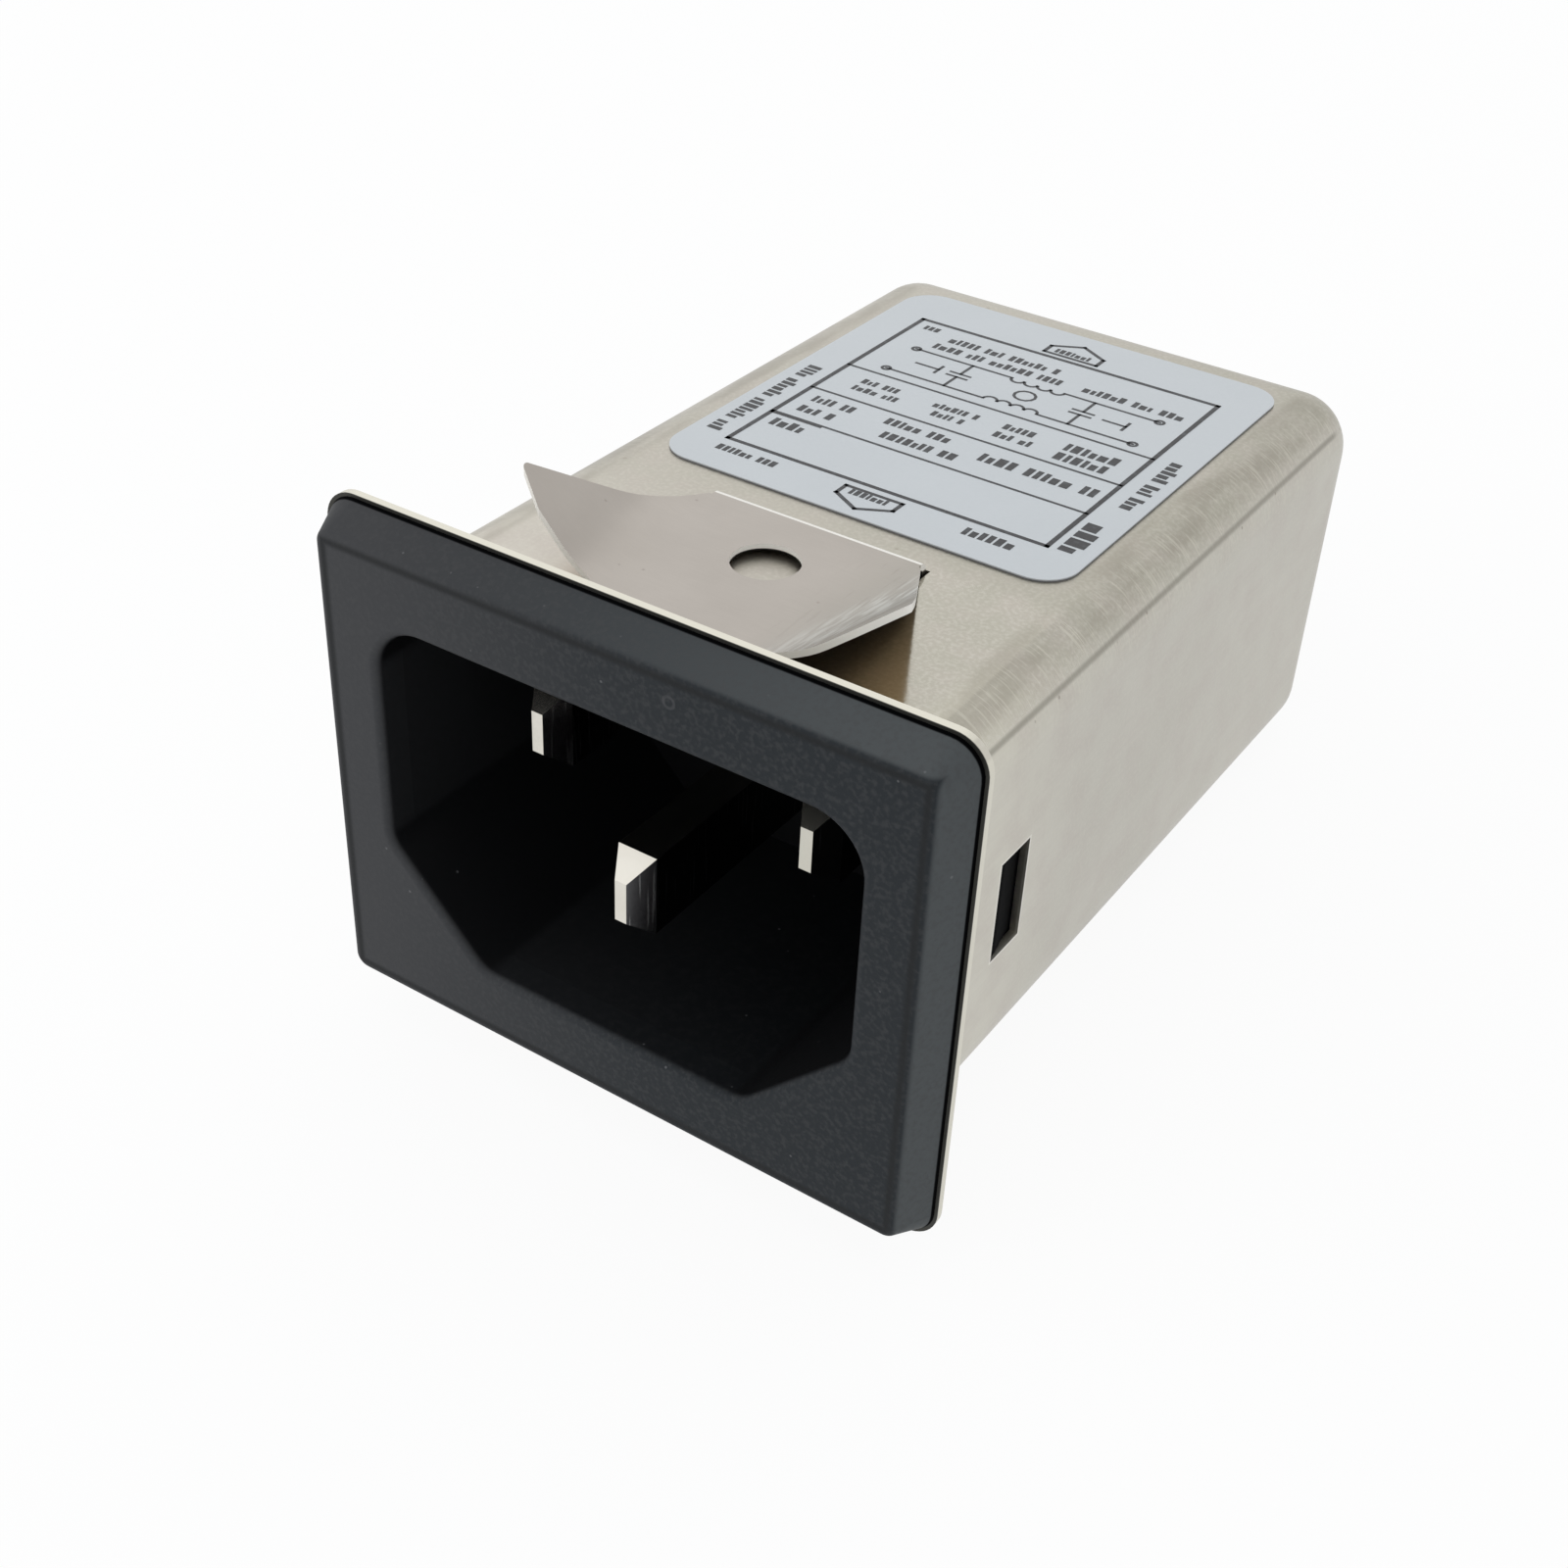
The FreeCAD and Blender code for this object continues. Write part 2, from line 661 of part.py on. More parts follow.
def make_pin(label, x, setback):
    """A contact pin with a tapered tip and a tail that bends down to the board."""
    z = PIN_PLACES[x]
    pin = new_body(label, x=x, z=z)
    tip = f"(bezel_front + {setback})"
    shoulder = f"({tip} + pin_tip_length)"
    section = front_sketch(pin, f"{label}_section", rectangle("pin_width", "pin_height"), y=shoulder)
    pad(pin, f"{label}_blade", section, f"floor_back - {shoulder}", reverse=True)

    taper = pin.newObject("PartDesign::AdditiveWedge", f"{label}_tip")
    tie(taper, "Ymin", tip)
    tie(taper, "Ymax", shoulder)
    for axis, small, large in (("X", "pin_tip_width", "pin_width"), ("Z", "pin_tip_height", "pin_height")):
        tie(taper, f"{axis}min", f"0 - {small} / 2")
        tie(taper, f"{axis}max", f"{small} / 2")
        tie(taper, f"{axis}2min", f"0 - {large} / 2")
        tie(taper, f"{axis}2max", f"{large} / 2")
    document.recompute()

    half = "tail_thickness / 2"
    bottom = f"(lead_end - {z})"
    tail = [
        ("floor_back", f"0 - {half}"),
        ("tail_back - tail_thickness", f"0 - {half}"),
        ("tail_back - tail_thickness", bottom),
        ("tail_back", bottom),
        ("tail_back", half),
        ("floor_back", half),
    ]
    pad(pin, f"{label}_tail", side_sketch(pin, f"{label}_tail_outline", tail), "tail_width", both=True)
    return pin


def free_sketch(name, outline, turn=None):
    """A sketch that belongs to no body, turned from the level plane if asked."""
    sketch = document.addObject("Sketcher::SketchObject", name)
    if turn:
        sketch.Placement = Placement(Vector(), turn)
    draw_outline(sketch, outline)
    return sketch


def extrude(name, sketch, forward, backward="0"):
    block = document.addObject("Part::Extrusion", name)
    block.Base = sketch
    block.DirMode = "Normal"
    block.Solid = True
    tie(block, "LengthFwd", forward)
    tie(block, "LengthRev", backward)
    return block


def clip_plan(leaf_back):
    """The clip's outline from above: a neck, two spread wings and a square tail."""
    half = [
        ("clip_neck_width / 2", "clip_front"),
        ("clip_shoulder_width / 2", "clip_shoulder_setback"),
        ("clip_wing_width / 2", "clip_wing_setback"),
        ("clip_tip_width / 2 - clip_tip_round / 2", "clip_tip_setback - clip_tip_round / 2",
         "clip_tip_round", "left"),
        ("clip_tip_width / 2 - clip_tip_round / 4", "clip_tip_setback + clip_tip_round / 2"),
        ("(slot_width / 2 - clip_slot_clearance)", leaf_back),
    ]
    left = []
    for index in reversed(range(len(half))):
        x, y = half[index][:2]
        arc = half[index - 1][2:] if index else ()
        left.append((f"0 - ({x})", y) + arc)
    return half + left


def make_clip(label, turn):
    """A spring clip: a flat leaf with two curled wings, a hook behind and a toe in front."""
    low = "(can_top + clip_lift)"
    leaf_back = "(slot_back - clip_slot_clearance - clip_thickness - clip_hook_bend)"
    upright = Rotation(Vector(1, 0, 0), 90)
    sideways = Rotation(Vector(0, 0, 1), 90) * upright

    plan = free_sketch(f"{label}_plan", clip_plan(leaf_back))
    draw_circle(plan, "0", "clip_hole_place", "clip_hole")
    trim = extrude(f"{label}_trim", plan, "can_height")

    front, rear = "clip_bend_front / 2", "clip_bend_rear / 2"
    flat_outline = [
        (front, "clip_front"),
        (rear, leaf_back),
        (f"0 - {rear}", leaf_back),
        (f"0 - {front}", "clip_front"),
    ]
    flat = extrude(f"{label}_flat", free_sketch(f"{label}_flat_outline", flat_outline), "clip_thickness")
    tie(flat, ".Placement.Base.z", low)

    reach = "clip_tip_width / 2"
    sine, cosine = "sin(clip_bend_angle * 1 deg)", "cos(clip_bend_angle * 1 deg)"
    outer = "(clip_bend_radius + clip_thickness)"
    section = [
        ("0 - clip_thickness", "0"),
        ("0", "0", outer, "left"),
        (f"{outer} * {sine}", f"{outer} * (1 - {cosine})"),
        (f"{outer} * {sine} + {reach} * {cosine}", f"{outer} * (1 - {cosine}) + {reach} * {sine}"),
        (f"clip_bend_radius * {sine} + {reach} * {cosine}",
         f"{outer} - clip_bend_radius * {cosine} + {reach} * {sine}"),
        (f"clip_bend_radius * {sine}", f"{outer} - clip_bend_radius * {cosine}",
         "clip_bend_radius", "right"),
        ("0", "clip_thickness"),
        ("0 - clip_thickness", "clip_thickness"),
    ]
    run = f"({leaf_back} - clip_front)"
    splay = math.degrees(math.atan2(value(f"{rear} - {front}"), value(run)))
    wing = extrude(f"{label}_wing", free_sketch(f"{label}_wing_section", section, upright), run, run)
    corner = Vector(value(front), value("clip_front"), value(low))
    wing.Placement = Placement(corner, Rotation(Vector(0, 0, 1), -splay))
    other_wing = document.addObject("Part::Mirroring", f"{label}_other_wing")
    other_wing.Source = wing
    other_wing.Normal = Vector(1, 0, 0)

    sheet_metal = document.addObject("Part::MultiFuse", f"{label}_formed")
    sheet_metal.Shapes = [flat, wing, other_wing]
    leaf = document.addObject("Part::MultiCommon", f"{label}_leaf")
    leaf.Shapes = [sheet_metal, trim]

    high = f"({low} + clip_thickness)"
    tail_back = "(slot_back - clip_slot_clearance)"
    tail_front = f"({tail_back} - clip_thickness)"
    hook_top = "(inner_height / 2)"
    hook_low = f"({hook_top} - clip_thickness)"
    bend, outside = "clip_hook_bend", "(clip_hook_bend + clip_thickness)"
    hook_end = "slot_back + clip_hook_length"
    hook_outline = [
        (f"{leaf_back} - clip_thickness", low),
        (f"{tail_front} - {bend}", low, bend, "right"),
        (tail_front, f"{low} - {bend}"),
        (tail_front, f"{hook_low} + {outside}", outside, "left"),
        (f"{tail_front} + {outside}", hook_low),
        (hook_end, hook_low),
        (hook_end, hook_top),
        (f"{tail_back} + {bend}", hook_top, bend, "right"),
        (tail_back, f"{hook_top} + {bend}"),
        (tail_back, f"{high} - {outside}", outside, "left"),
        (f"{tail_back} - {outside}", high),
        (f"{leaf_back} - clip_thickness", high),
    ]
    half_tail = "(slot_width / 2 - clip_slot_clearance)"
    hook_sketch = free_sketch(f"{label}_hook_outline", hook_outline, sideways)
    hook = extrude(f"{label}_hook", hook_sketch, half_tail, half_tail)

    toe_back = "(clip_toe_front + clip_toe_length)"
    toe_outline = [
        ("clip_toe_front", "can_top"),
        (toe_back, "can_top"),
        ("clip_front", low),
        ("clip_front + clip_thickness", low),
        ("clip_front + clip_thickness", high),
        ("clip_front", high),
        (toe_back, "can_top + clip_thickness"),
        ("clip_toe_front", "can_top + clip_thickness"),
    ]
    half_neck = "clip_neck_width / 2"
    toe_sketch = free_sketch(f"{label}_toe_outline", toe_outline, sideways)
    toe = extrude(f"{label}_toe", toe_sketch, half_neck, half_neck)

    clip = keep(document.addObject("Part::MultiFuse", label), label)
    clip.Shapes = [leaf, hook, toe]
    clip.Refine = True
    clip.Placement = Placement(Vector(), Rotation(Vector(0, 1, 0), turn))
    return clip


def make_rating_label():
    label = new_body("rating_label")
    middle = "(label_front + label_length / 2)"
    outline = rounded_rectangle("label_width", "label_length", "label_corner", y=middle)
    pad(label, "label_sheet", top_sketch(label, "label_outline", outline, z="can_top"), "label_thickness")
    return label


def lead_places():
    """Where the wire leads on the right half pass through the board, with their widths."""
    places = [
        ("x_capacitor_lead_pitch / 2", "x_capacitor_place", "lead_width"),
        ("resistor_lead_pitch / 2", "resistor_place", "lead_width"),
    ]
    for way in ("-1", "1"):
        disc_lead = f"choke_place + {way} * y_capacitor_lead_pitch / 2"
        winding_leg = f"choke_place + {way} * winding_leg_spread / 2"
        places.append(("y_capacitor_side", disc_lead, "lead_width"))
        places.append(("winding_leg_pitch / 2", winding_leg, "winding_leg_width"))
    return places


def blade_slots():
    """Where flat tails, legs and the strap pass through the board."""
    tail_middle = "(tail_back - tail_thickness / 2)"
    leg_middle = "(tab_root + tab_leg_width / 2)"
    strap_middle = "(strap_right - strap_thickness / 2)"
    blades = [("tail_width", "tail_thickness", x, tail_middle) for x in PIN_PLACES]
    blades += [("tab_thickness", "tab_leg_width", x, leg_middle) for x in terminal_places().values()]
    blades.append(("strap_thickness", "strap_width", strap_middle, "strap_place"))
    gap = "2 * hole_clearance"
    return [rectangle(f"({width} + {gap})", f"({length} + {gap})", x=x, y=y)
            for width, length, x, y in blades]


def make_circuit_board():
    board = new_body("circuit_board")
    middle = "((board_front + board_back) / 2)"
    outline = rounded_rectangle("board_width", "board_length", "board_corner", y=middle)
    plate = top_sketch(board, "board_outline", outline, z="board_bottom")
    pad(board, "board_plate", plate, "board_thickness")
    slots = top_sketch(board, "blade_slots_outline", *blade_slots(), z="board_top")
    pocket(board, "blade_slots", slots, "board_thickness")
    holes = [eight_sided(f"({width} + 2 * hole_clearance)", x, y) for x, y, width in lead_places()]
    sketch = top_sketch(board, "lead_holes_outline", *holes, z="board_top")
    right = pocket(board, "right_lead_holes", sketch, "board_thickness")
    mirror(board, "left_lead_holes", right, "YZ_Plane")
    return board


def make_choke_core():
    core = new_body("choke_core", y="choke_place", z="choke_rise")
    wall = "((core_outer - core_inner) / 2)"
    section = rectangle(wall, "core_length", x="((core_outer + core_inner) / 4)")
    ring = core.newObject("PartDesign::Revolution", "core_ring")
    ring.Profile = top_sketch(core, "core_section", section)
    ring.ReferenceAxis = (origin_feature(core, "Y_Axis"), [""])
    ring.Angle = FULL_TURN
    return core


def winding_section(body, name, outside, start):
    """A square loop round the core's section, turned about the choke's axis."""
    middle = "((core_outer + core_inner) / 4)"

    def loop(layer):
        width = f"((core_outer - core_inner) / 2 + 2 * {layer})"
        return rectangle(width, f"(core_length + 2 * {layer})", x=middle)

    sketch = top_sketch(body, name, loop(outside), loop("winding_gap"))
    sketch.AttachmentOffset = Placement(Vector(), Rotation(Vector(0, 1, 0), start))
    return sketch


def turn_winding(body, name, sketch, angle):
    feature = body.newObject("PartDesign::Revolution", name)
    feature.Profile = sketch
    feature.ReferenceAxis = (origin_feature(body, "Y_Axis"), [""])
    tie(feature, "Angle", angle)
    document.recompute()
    return feature


def make_winding(label, side):
    """Half of the choke's copper: a wound layer, its turns and two legs to the board."""
    winding = new_body(label, y="choke_place", z="choke_rise")
    start = (0 if side > 0 else HALF_TURN) - value("winding_angle / 2")
    layer = winding_section(winding, f"{label}_layer_section", "(winding_gap + wire_thickness)", start)
    turn_winding(winding, f"{label}_layer", layer, "winding_angle")
    ridge = winding_section(winding, f"{label}_turn_section", "winding_build", start)
    turn = turn_winding(winding, f"{label}_turn", ridge, "turn_angle")
    turns = winding.newObject("PartDesign::PolarPattern", f"{label}_turns")
    turns.Originals = [turn]
    turns.Axis = (origin_feature(winding, "Y_Axis"), [""])
    tie(turns, "Angle", "winding_angle - turn_angle")
    tie(turns, "Occurrences", "turn_count")
    winding.Tip = turns
    document.recompute()

    layer_radius = "(core_outer / 2 + winding_gap)"
    leg_reach = f"sqrt(pow({layer_radius}; 2) - pow(winding_leg_pitch / 2; 2))"
    leg_top = f"(0 - {leg_reach} - wire_thickness / 2)"
    legs = body_sketch(winding, f"{label}_legs_outline", "XY_Plane", leg_top)
    leg_place = f"{side} * winding_leg_pitch / 2"
    for way in ("-1", "1"):
        draw_outline(legs, eight_sided("winding_leg_width", leg_place, f"{way} * winding_leg_spread / 2"))
    pad(winding, f"{label}_legs", legs, f"{leg_top} - (lead_end - choke_rise)", reverse=True)
    return winding


def make_choke_separator():
    """The insulating plate that keeps the two windings apart in the bore of the core."""
    plate = new_body("choke_separator", y="choke_place", z="choke_rise")
    width = "separator_thickness"
    bore = "(core_inner / 2 - separator_clearance)"
    edge = f"sqrt(pow({bore}; 2) - pow({width} / 2; 2))"
    outline = rectangle(width, f"(2 * {edge})")
    length = "core_length + 2 * winding_gap + 2 * wire_thickness"
    pad(plate, "separator_plate", front_sketch(plate, "separator_outline", outline), length, both=True)
    return plate


def add_wire_leads(body, name, places, start, end):
    sketch = body_sketch(body, f"{name}_outline", "XY_Plane", start)
    for x, y in places:
        draw_outline(sketch, eight_sided("lead_width", x, y))
    return pad(body, name, sketch, f"{start} - ({end})", reverse=True)


def make_x_capacitor():
    block = new_body("x_capacitor", y="x_capacitor_place", z="board_top")
    outline = rectangle("x_capacitor_width", "x_capacitor_length")
    pad(block, "capacitor_case", top_sketch(block, "capacitor_case_outline", outline), "x_capacitor_height")
    top = value("x_capacitor_height")
    chamfer(block, "capacitor_case_bevel", "x_capacitor_edge",
            lambda edge: runs_along(edge, "z") or lies_at(edge, "z", top))
    places = [(f"{side} * x_capacitor_lead_pitch / 2", "0") for side in ("-1", "1")]
    add_wire_leads(block, "capacitor_leads", places, "0", "lead_end - board_top")
    return block


def make_y_capacitor(label, side):
    disc = new_body(label, x=f"{side} * y_capacitor_side", y="choke_place", z="y_capacitor_rise")
    sketch = body_sketch(disc, f"{label}_outline", "YZ_Plane")
    draw_circle(sketch, "0", "0", "y_capacitor_diameter")
    pad(disc, f"{label}_coat", sketch, "y_capacitor_thickness", both=True)
    places = [("0", f"{way} * y_capacitor_lead_pitch / 2") for way in ("-1", "1")]
    lead_start = "(0 - y_capacitor_diameter / 4)"
    add_wire_leads(disc, f"{label}_leads", places, lead_start, "lead_end - y_capacitor_rise")
    return disc


def make_bleed_resistor():
    resistor = new_body("bleed_resistor", y="resistor_place", z="resistor_rise")
    half, cap = "resistor_length / 2", "resistor_cap_length"
    section = [
        (f"0 - {half}", "0"),
        (half, "0"),
        (half, "resistor_diameter / 2"),
        (f"{half} - {cap}", "resistor_diameter / 2"),
        (f"{half} - {cap}", "resistor_waist / 2"),
        (f"{cap} - {half}", "resistor_waist / 2"),
        (f"{cap} - {half}", "resistor_diameter / 2"),
        (f"0 - {half}", "resistor_diameter / 2"),
    ]
    shell = resistor.newObject("PartDesign::Revolution", "resistor_shell")
    shell.Profile = top_sketch(resistor, "resistor_section", section)
    shell.ReferenceAxis = (origin_feature(resistor, "X_Axis"), [""])
    shell.Angle = FULL_TURN
    document.recompute()

    reach = "resistor_lead_pitch / 2"
    bottom = "(lead_end - resistor_rise)"
    route = [(f"0 - {reach}", bottom), (f"0 - {reach}", "0"), (reach, "0"), (reach, bottom)]
    path = body_sketch(resistor, "resistor_lead_route", "XZ_Plane")
    draw_outline(path, route, closed=False)
    end = body_sketch(resistor, "resistor_lead_section", "XY_Plane", bottom)
    draw_outline(end, eight_sided("lead_width", f"0 - {reach}"))
    lead = resistor.newObject("PartDesign::AdditivePipe", "resistor_lead")
    lead.Profile = end
    lead.Spine = (path, [f"Edge{number}" for number in range(1, len(route))])
    lead.Transition = "Right corner"
    document.recompute()
    return resistor


def make_tab(label, x):
    """A blade terminal with a bevelled tip, a locking hole and a leg to the board."""
    tab = new_body(label, x=x)
    end = "tab_end"
    half = "tab_width / 2"
    outline = [
        ("tab_root", "lead_end"),
        ("tab_root + tab_leg_width", "lead_end"),
        ("tab_root + tab_leg_width", f"0 - {half}"),
        (f"{end} - tab_bevel", f"0 - {half}"),
        (end, f"tab_bevel - {half}"),
        (end, f"{half} - tab_bevel"),
        (f"{end} - tab_bevel", half),
        ("tab_root", half),
    ]
    sketch = side_sketch(tab, f"{label}_outline", outline)
    draw_circle(sketch, f"{end} - tab_hole_setback", "0", "tab_hole")
    pad(tab, f"{label}_blade", sketch, "tab_thickness", both=True)
    tip = value(end)
    chamfer(tab, f"{label}_tip", "tab_tip_chamfer",
            lambda edge: runs_along(edge, "z") and lies_at(edge, "y", tip))
    return tab


def make_terminal_insulator():
    insulator = new_body("terminal_insulator")
    plate = rounded_rectangle("insulator_width", "insulator_height", "insulator_corner")
    sketch = front_sketch(insulator, "insulator_outline", plate, y="inner_back")
    pad(insulator, "insulator_plate", sketch, "insulator_thickness")
    places = terminal_places().values()
    collars = [rectangle("collar_width", "collar_height", x=place) for place in places]
    sketch = front_sketch(insulator, "collars_outline", *collars, y="inner_back")
    pad(insulator, "collars", sketch, "sheet_thickness + collar_reach", reverse=True)
    slots = [rectangle("tab_slot_width", "tab_slot_height", x=place) for place in places]
    sketch = front_sketch(insulator, "tab_slots_outline", *slots, y="(can_depth + collar_reach)")
    pocket(insulator, "tab_slots", sketch, reverse=True)
    return insulator


def make_insulating_liner():
    """A thin trough that lines the bottom and lower sides of the can."""
    liner = new_body("insulating_liner")
    side = "(inner_width / 2 - liner_clearance)"
    low = "(liner_clearance - inner_height / 2)"
    bend = "(inner_edge - liner_clearance)"
    inside = f"({bend} - liner_thickness)"
    high = f"({low} + liner_rise)"
    outline = [
        (f"0 - {side}", high),
        (f"0 - {side}", f"{low} + {bend}", bend, "left"),
        (f"{bend} - {side}", low),
        (f"{side} - {bend}", low, bend, "left"),
        (side, f"{low} + {bend}"),
        (side, high),
        (f"{side} - liner_thickness", high),
        (f"{side} - liner_thickness", f"{low} + {bend}", inside, "right"),
        (f"{side} - {bend}", f"{low} + liner_thickness"),
        (f"{bend} - {side}", f"{low} + liner_thickness", inside, "right"),
        (f"liner_thickness - {side}", f"{low} + {bend}"),
        (f"liner_thickness - {side}", high),
    ]
    front = "(board_front + liner_gap)"
    sketch = front_sketch(liner, "liner_outline", outline, y=front)
    pad(liner, "liner_trough", sketch, f"board_back - {front}", reverse=True)
    return liner


def make_earth_strap():
    """A strip that rises from the board, bends outwards and lies flat on the wall of the can."""
    strap = new_body("earth_strap")
    wall = "(inner_width / 2)"
    thick = "strap_thickness"
    knee = "(board_top + strap_knee)"
    step = f"({knee} + strap_inset / tan(strap_bend_angle * 1 deg))"
    slant = "(strap_thickness * tan(strap_bend_angle / 2 * 1 deg))"
    outline = [
        ("strap_right", "lead_end"),
        ("strap_right", knee),
        (wall, step),
        (wall, f"{step} + strap_pad"),
        (f"{wall} - {thick}", f"{step} + strap_pad"),
        (f"{wall} - {thick}", f"{step} + {slant}"),
        (f"strap_right - {thick}", f"{knee} + {slant}"),
        (f"strap_right - {thick}", "lead_end"),
    ]
    sketch = front_sketch(strap, "strap_outline", outline, y="strap_place")
    pad(strap, "strap_strip", sketch, "strap_width", both=True)
    return strap


def make_everything():
    make_shield_can()
    make_inlet_housing()
    make_pin("line_pin", LINE_PIN_PLACE, "pin_setback")
    make_pin("neutral_pin", NEUTRAL_PIN_PLACE, "pin_setback")
    make_pin("earth_pin", EARTH_PIN_PLACE, "earth_pin_setback")
    make_clip("clip_top", 0)
    make_clip("clip_bottom", HALF_TURN)
    make_rating_label()
    make_circuit_board()
    make_choke_core()
    make_winding("choke_winding_line", -1)
    make_winding("choke_winding_neutral", 1)
    make_choke_separator()
    make_x_capacitor()
    make_y_capacitor("y_capacitor_line", "-1")
    make_y_capacitor("y_capacitor_neutral", "1")
    make_bleed_resistor()
    for name, place in terminal_places().items():
        make_tab(f"{name}_tab", place)
    make_terminal_insulator()
    make_insulating_liner()
    make_earth_strap()


def check_document():
    """Stops on any object that failed and any sub-part without a sound shape."""
    document.recompute()
    for thing in document.Objects:
        if "Invalid" in thing.State or "Error" in thing.State:
            raise RuntimeError(f"{thing.Label} failed: {thing.State}")
    for subpart in subparts:
        if subpart.Shape.isNull() or not subpart.Shape.isValid() or not subpart.Shape.Solids:
            raise RuntimeError(f"{subpart.Label} has no sound shape")


def write_subparts():
    os.makedirs("parts", exist_ok=True)
    for subpart in subparts:
        subpart.Shape.exportStep(f"parts/{subpart.Label}.step")
        print(f"{subpart.Label}: {len(subpart.Shape.Solids)} solid, {subpart.Shape.Volume:.2f} cubic mm")


fill_sheet()
make_everything()
check_document()
write_subparts()
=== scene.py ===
import json
import math
import random

import bmesh
import bpy
from mathutils import Matrix, Vector


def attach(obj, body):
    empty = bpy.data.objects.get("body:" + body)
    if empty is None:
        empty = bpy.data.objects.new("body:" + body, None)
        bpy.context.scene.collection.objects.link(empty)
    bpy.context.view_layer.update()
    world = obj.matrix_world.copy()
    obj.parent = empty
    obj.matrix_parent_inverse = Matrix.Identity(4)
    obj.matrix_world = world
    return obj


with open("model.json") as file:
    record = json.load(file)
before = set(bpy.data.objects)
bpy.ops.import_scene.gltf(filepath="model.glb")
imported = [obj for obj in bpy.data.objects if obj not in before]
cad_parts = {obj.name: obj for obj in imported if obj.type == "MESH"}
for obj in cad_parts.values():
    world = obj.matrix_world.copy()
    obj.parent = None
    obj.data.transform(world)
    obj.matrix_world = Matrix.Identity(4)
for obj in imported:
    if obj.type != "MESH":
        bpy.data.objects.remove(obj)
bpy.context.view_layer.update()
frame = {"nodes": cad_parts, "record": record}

MM = 0.001

# Places on the object, in millimetres
BEZEL_FRONT = -2.2
BEZEL_FACE = (14.73, 11.43)
SOCKET_SIDE, SOCKET_TOP = 12.3, 8.4
GATE_MARK_X, GATE_MARK_Z = 3.17, 10.33
FLANGE_FRONT = -0.4
FLANGE_RIM = (15.75, 12.45)
CAN_TOP = 9.8
CAN_SIDE = 13.8
CAN_EDGE_RADIUS = 2.8
CAN_LENGTH = 43.1
WINDOW_FRONT, WINDOW_BACK = 6.4, 8.8
WINDOW_LOW, WINDOW_HIGH = -2.975, 2.175
WINDOW_HIGHLIGHT_WIDTH = 0.14
CLIP_BEND_Y, CLIP_BEND_Z = 12.80, 9.90
CLIP_HOLE_Y, CLIP_HOLE_RADIUS = 9.0, 1.55
CLIP_TOP = 10.35
LABEL_TOP = 9.92
BOARD_SIDE, BOARD_TOP = 12.3, -7.0
DISC_LOW = -6.0
RESISTOR_END = 3.15

# The camera, in millimetres and degrees
CAMERA_PLACE = (42.368, -56.006, 53.932)
CAMERA_AIM = (8.520, -2.2, 8.856)
CAMERA_ROLL = 2.907
CAMERA_LENS = 48.18
SENSOR_WIDTH = 36.0

# The floor touches the lower clip's wing tips and the rear lower edge of the can
REAR_EDGE_CENTRE = (40.5, -7.2)
REAR_EDGE_RADIUS = 2.6
FLOOR_REACH = 900.0

# The studio: how white its paper is, how much of it is plain white to the view, and the room's light
PAPER_TONE = (0.93, 0.93, 0.93)
PAPER_ROUGHNESS = 0.9
PAPER_WHITE_SHARE = 0.92
ROOM_TONE = (0.96, 0.98, 1.0)
ROOM_STRENGTH = 0.84

# Where the Mix node keeps its factor, its two colours and the colour that comes out
MIX_FACTOR, MIX_FIRST, MIX_SECOND, MIX_RESULT = 0, 6, 7, 2

# The tone of the tinned leads inside
TINNED = (0.62, 0.61, 0.58)


def opaque(tone):
    """A colour with full alpha."""
    return (*tone, 1.0)


class Reading:
    """One output among some nodes, with the usual sums on it."""

    def __init__(self, nodes, socket):
        self.nodes = nodes
        self.socket = socket

    def __add__(self, other):
        return self.nodes.math("ADD", self, other)

    def __radd__(self, other):
        return self.nodes.math("ADD", other, self)

    def __sub__(self, other):
        return self.nodes.math("SUBTRACT", self, other)

    def __rsub__(self, other):
        return self.nodes.math("SUBTRACT", other, self)

    def __mul__(self, other):
        return self.nodes.math("MULTIPLY", self, other)

    def __rmul__(self, other):
        return self.nodes.math("MULTIPLY", other, self)

    def __abs__(self):
        return self.nodes.math("ABSOLUTE", self)


class Nodes:
    """The nodes of one material or of the world."""

    def __init__(self, tree):
        self.tree = tree

    def add(self, kind, settings=None, inputs=None, output=0):
        """Adds a node, sets it, feeds it and gives one of its outputs."""
        node = self.tree.nodes.new(kind)
        for name, setting in (settings or {}).items():
            setattr(node, name, setting)
        for name, value in (inputs or {}).items():
            self.feed(node.inputs[name], value)
        return Reading(self, node.outputs[output])

    def feed(self, socket, value):
        if isinstance(value, Reading):
            self.tree.links.new(value.socket, socket)
        else:
            socket.default_value = value

    def math(self, operation, *values):
        return self.add("ShaderNodeMath", {"operation": operation}, dict(enumerate(values)))


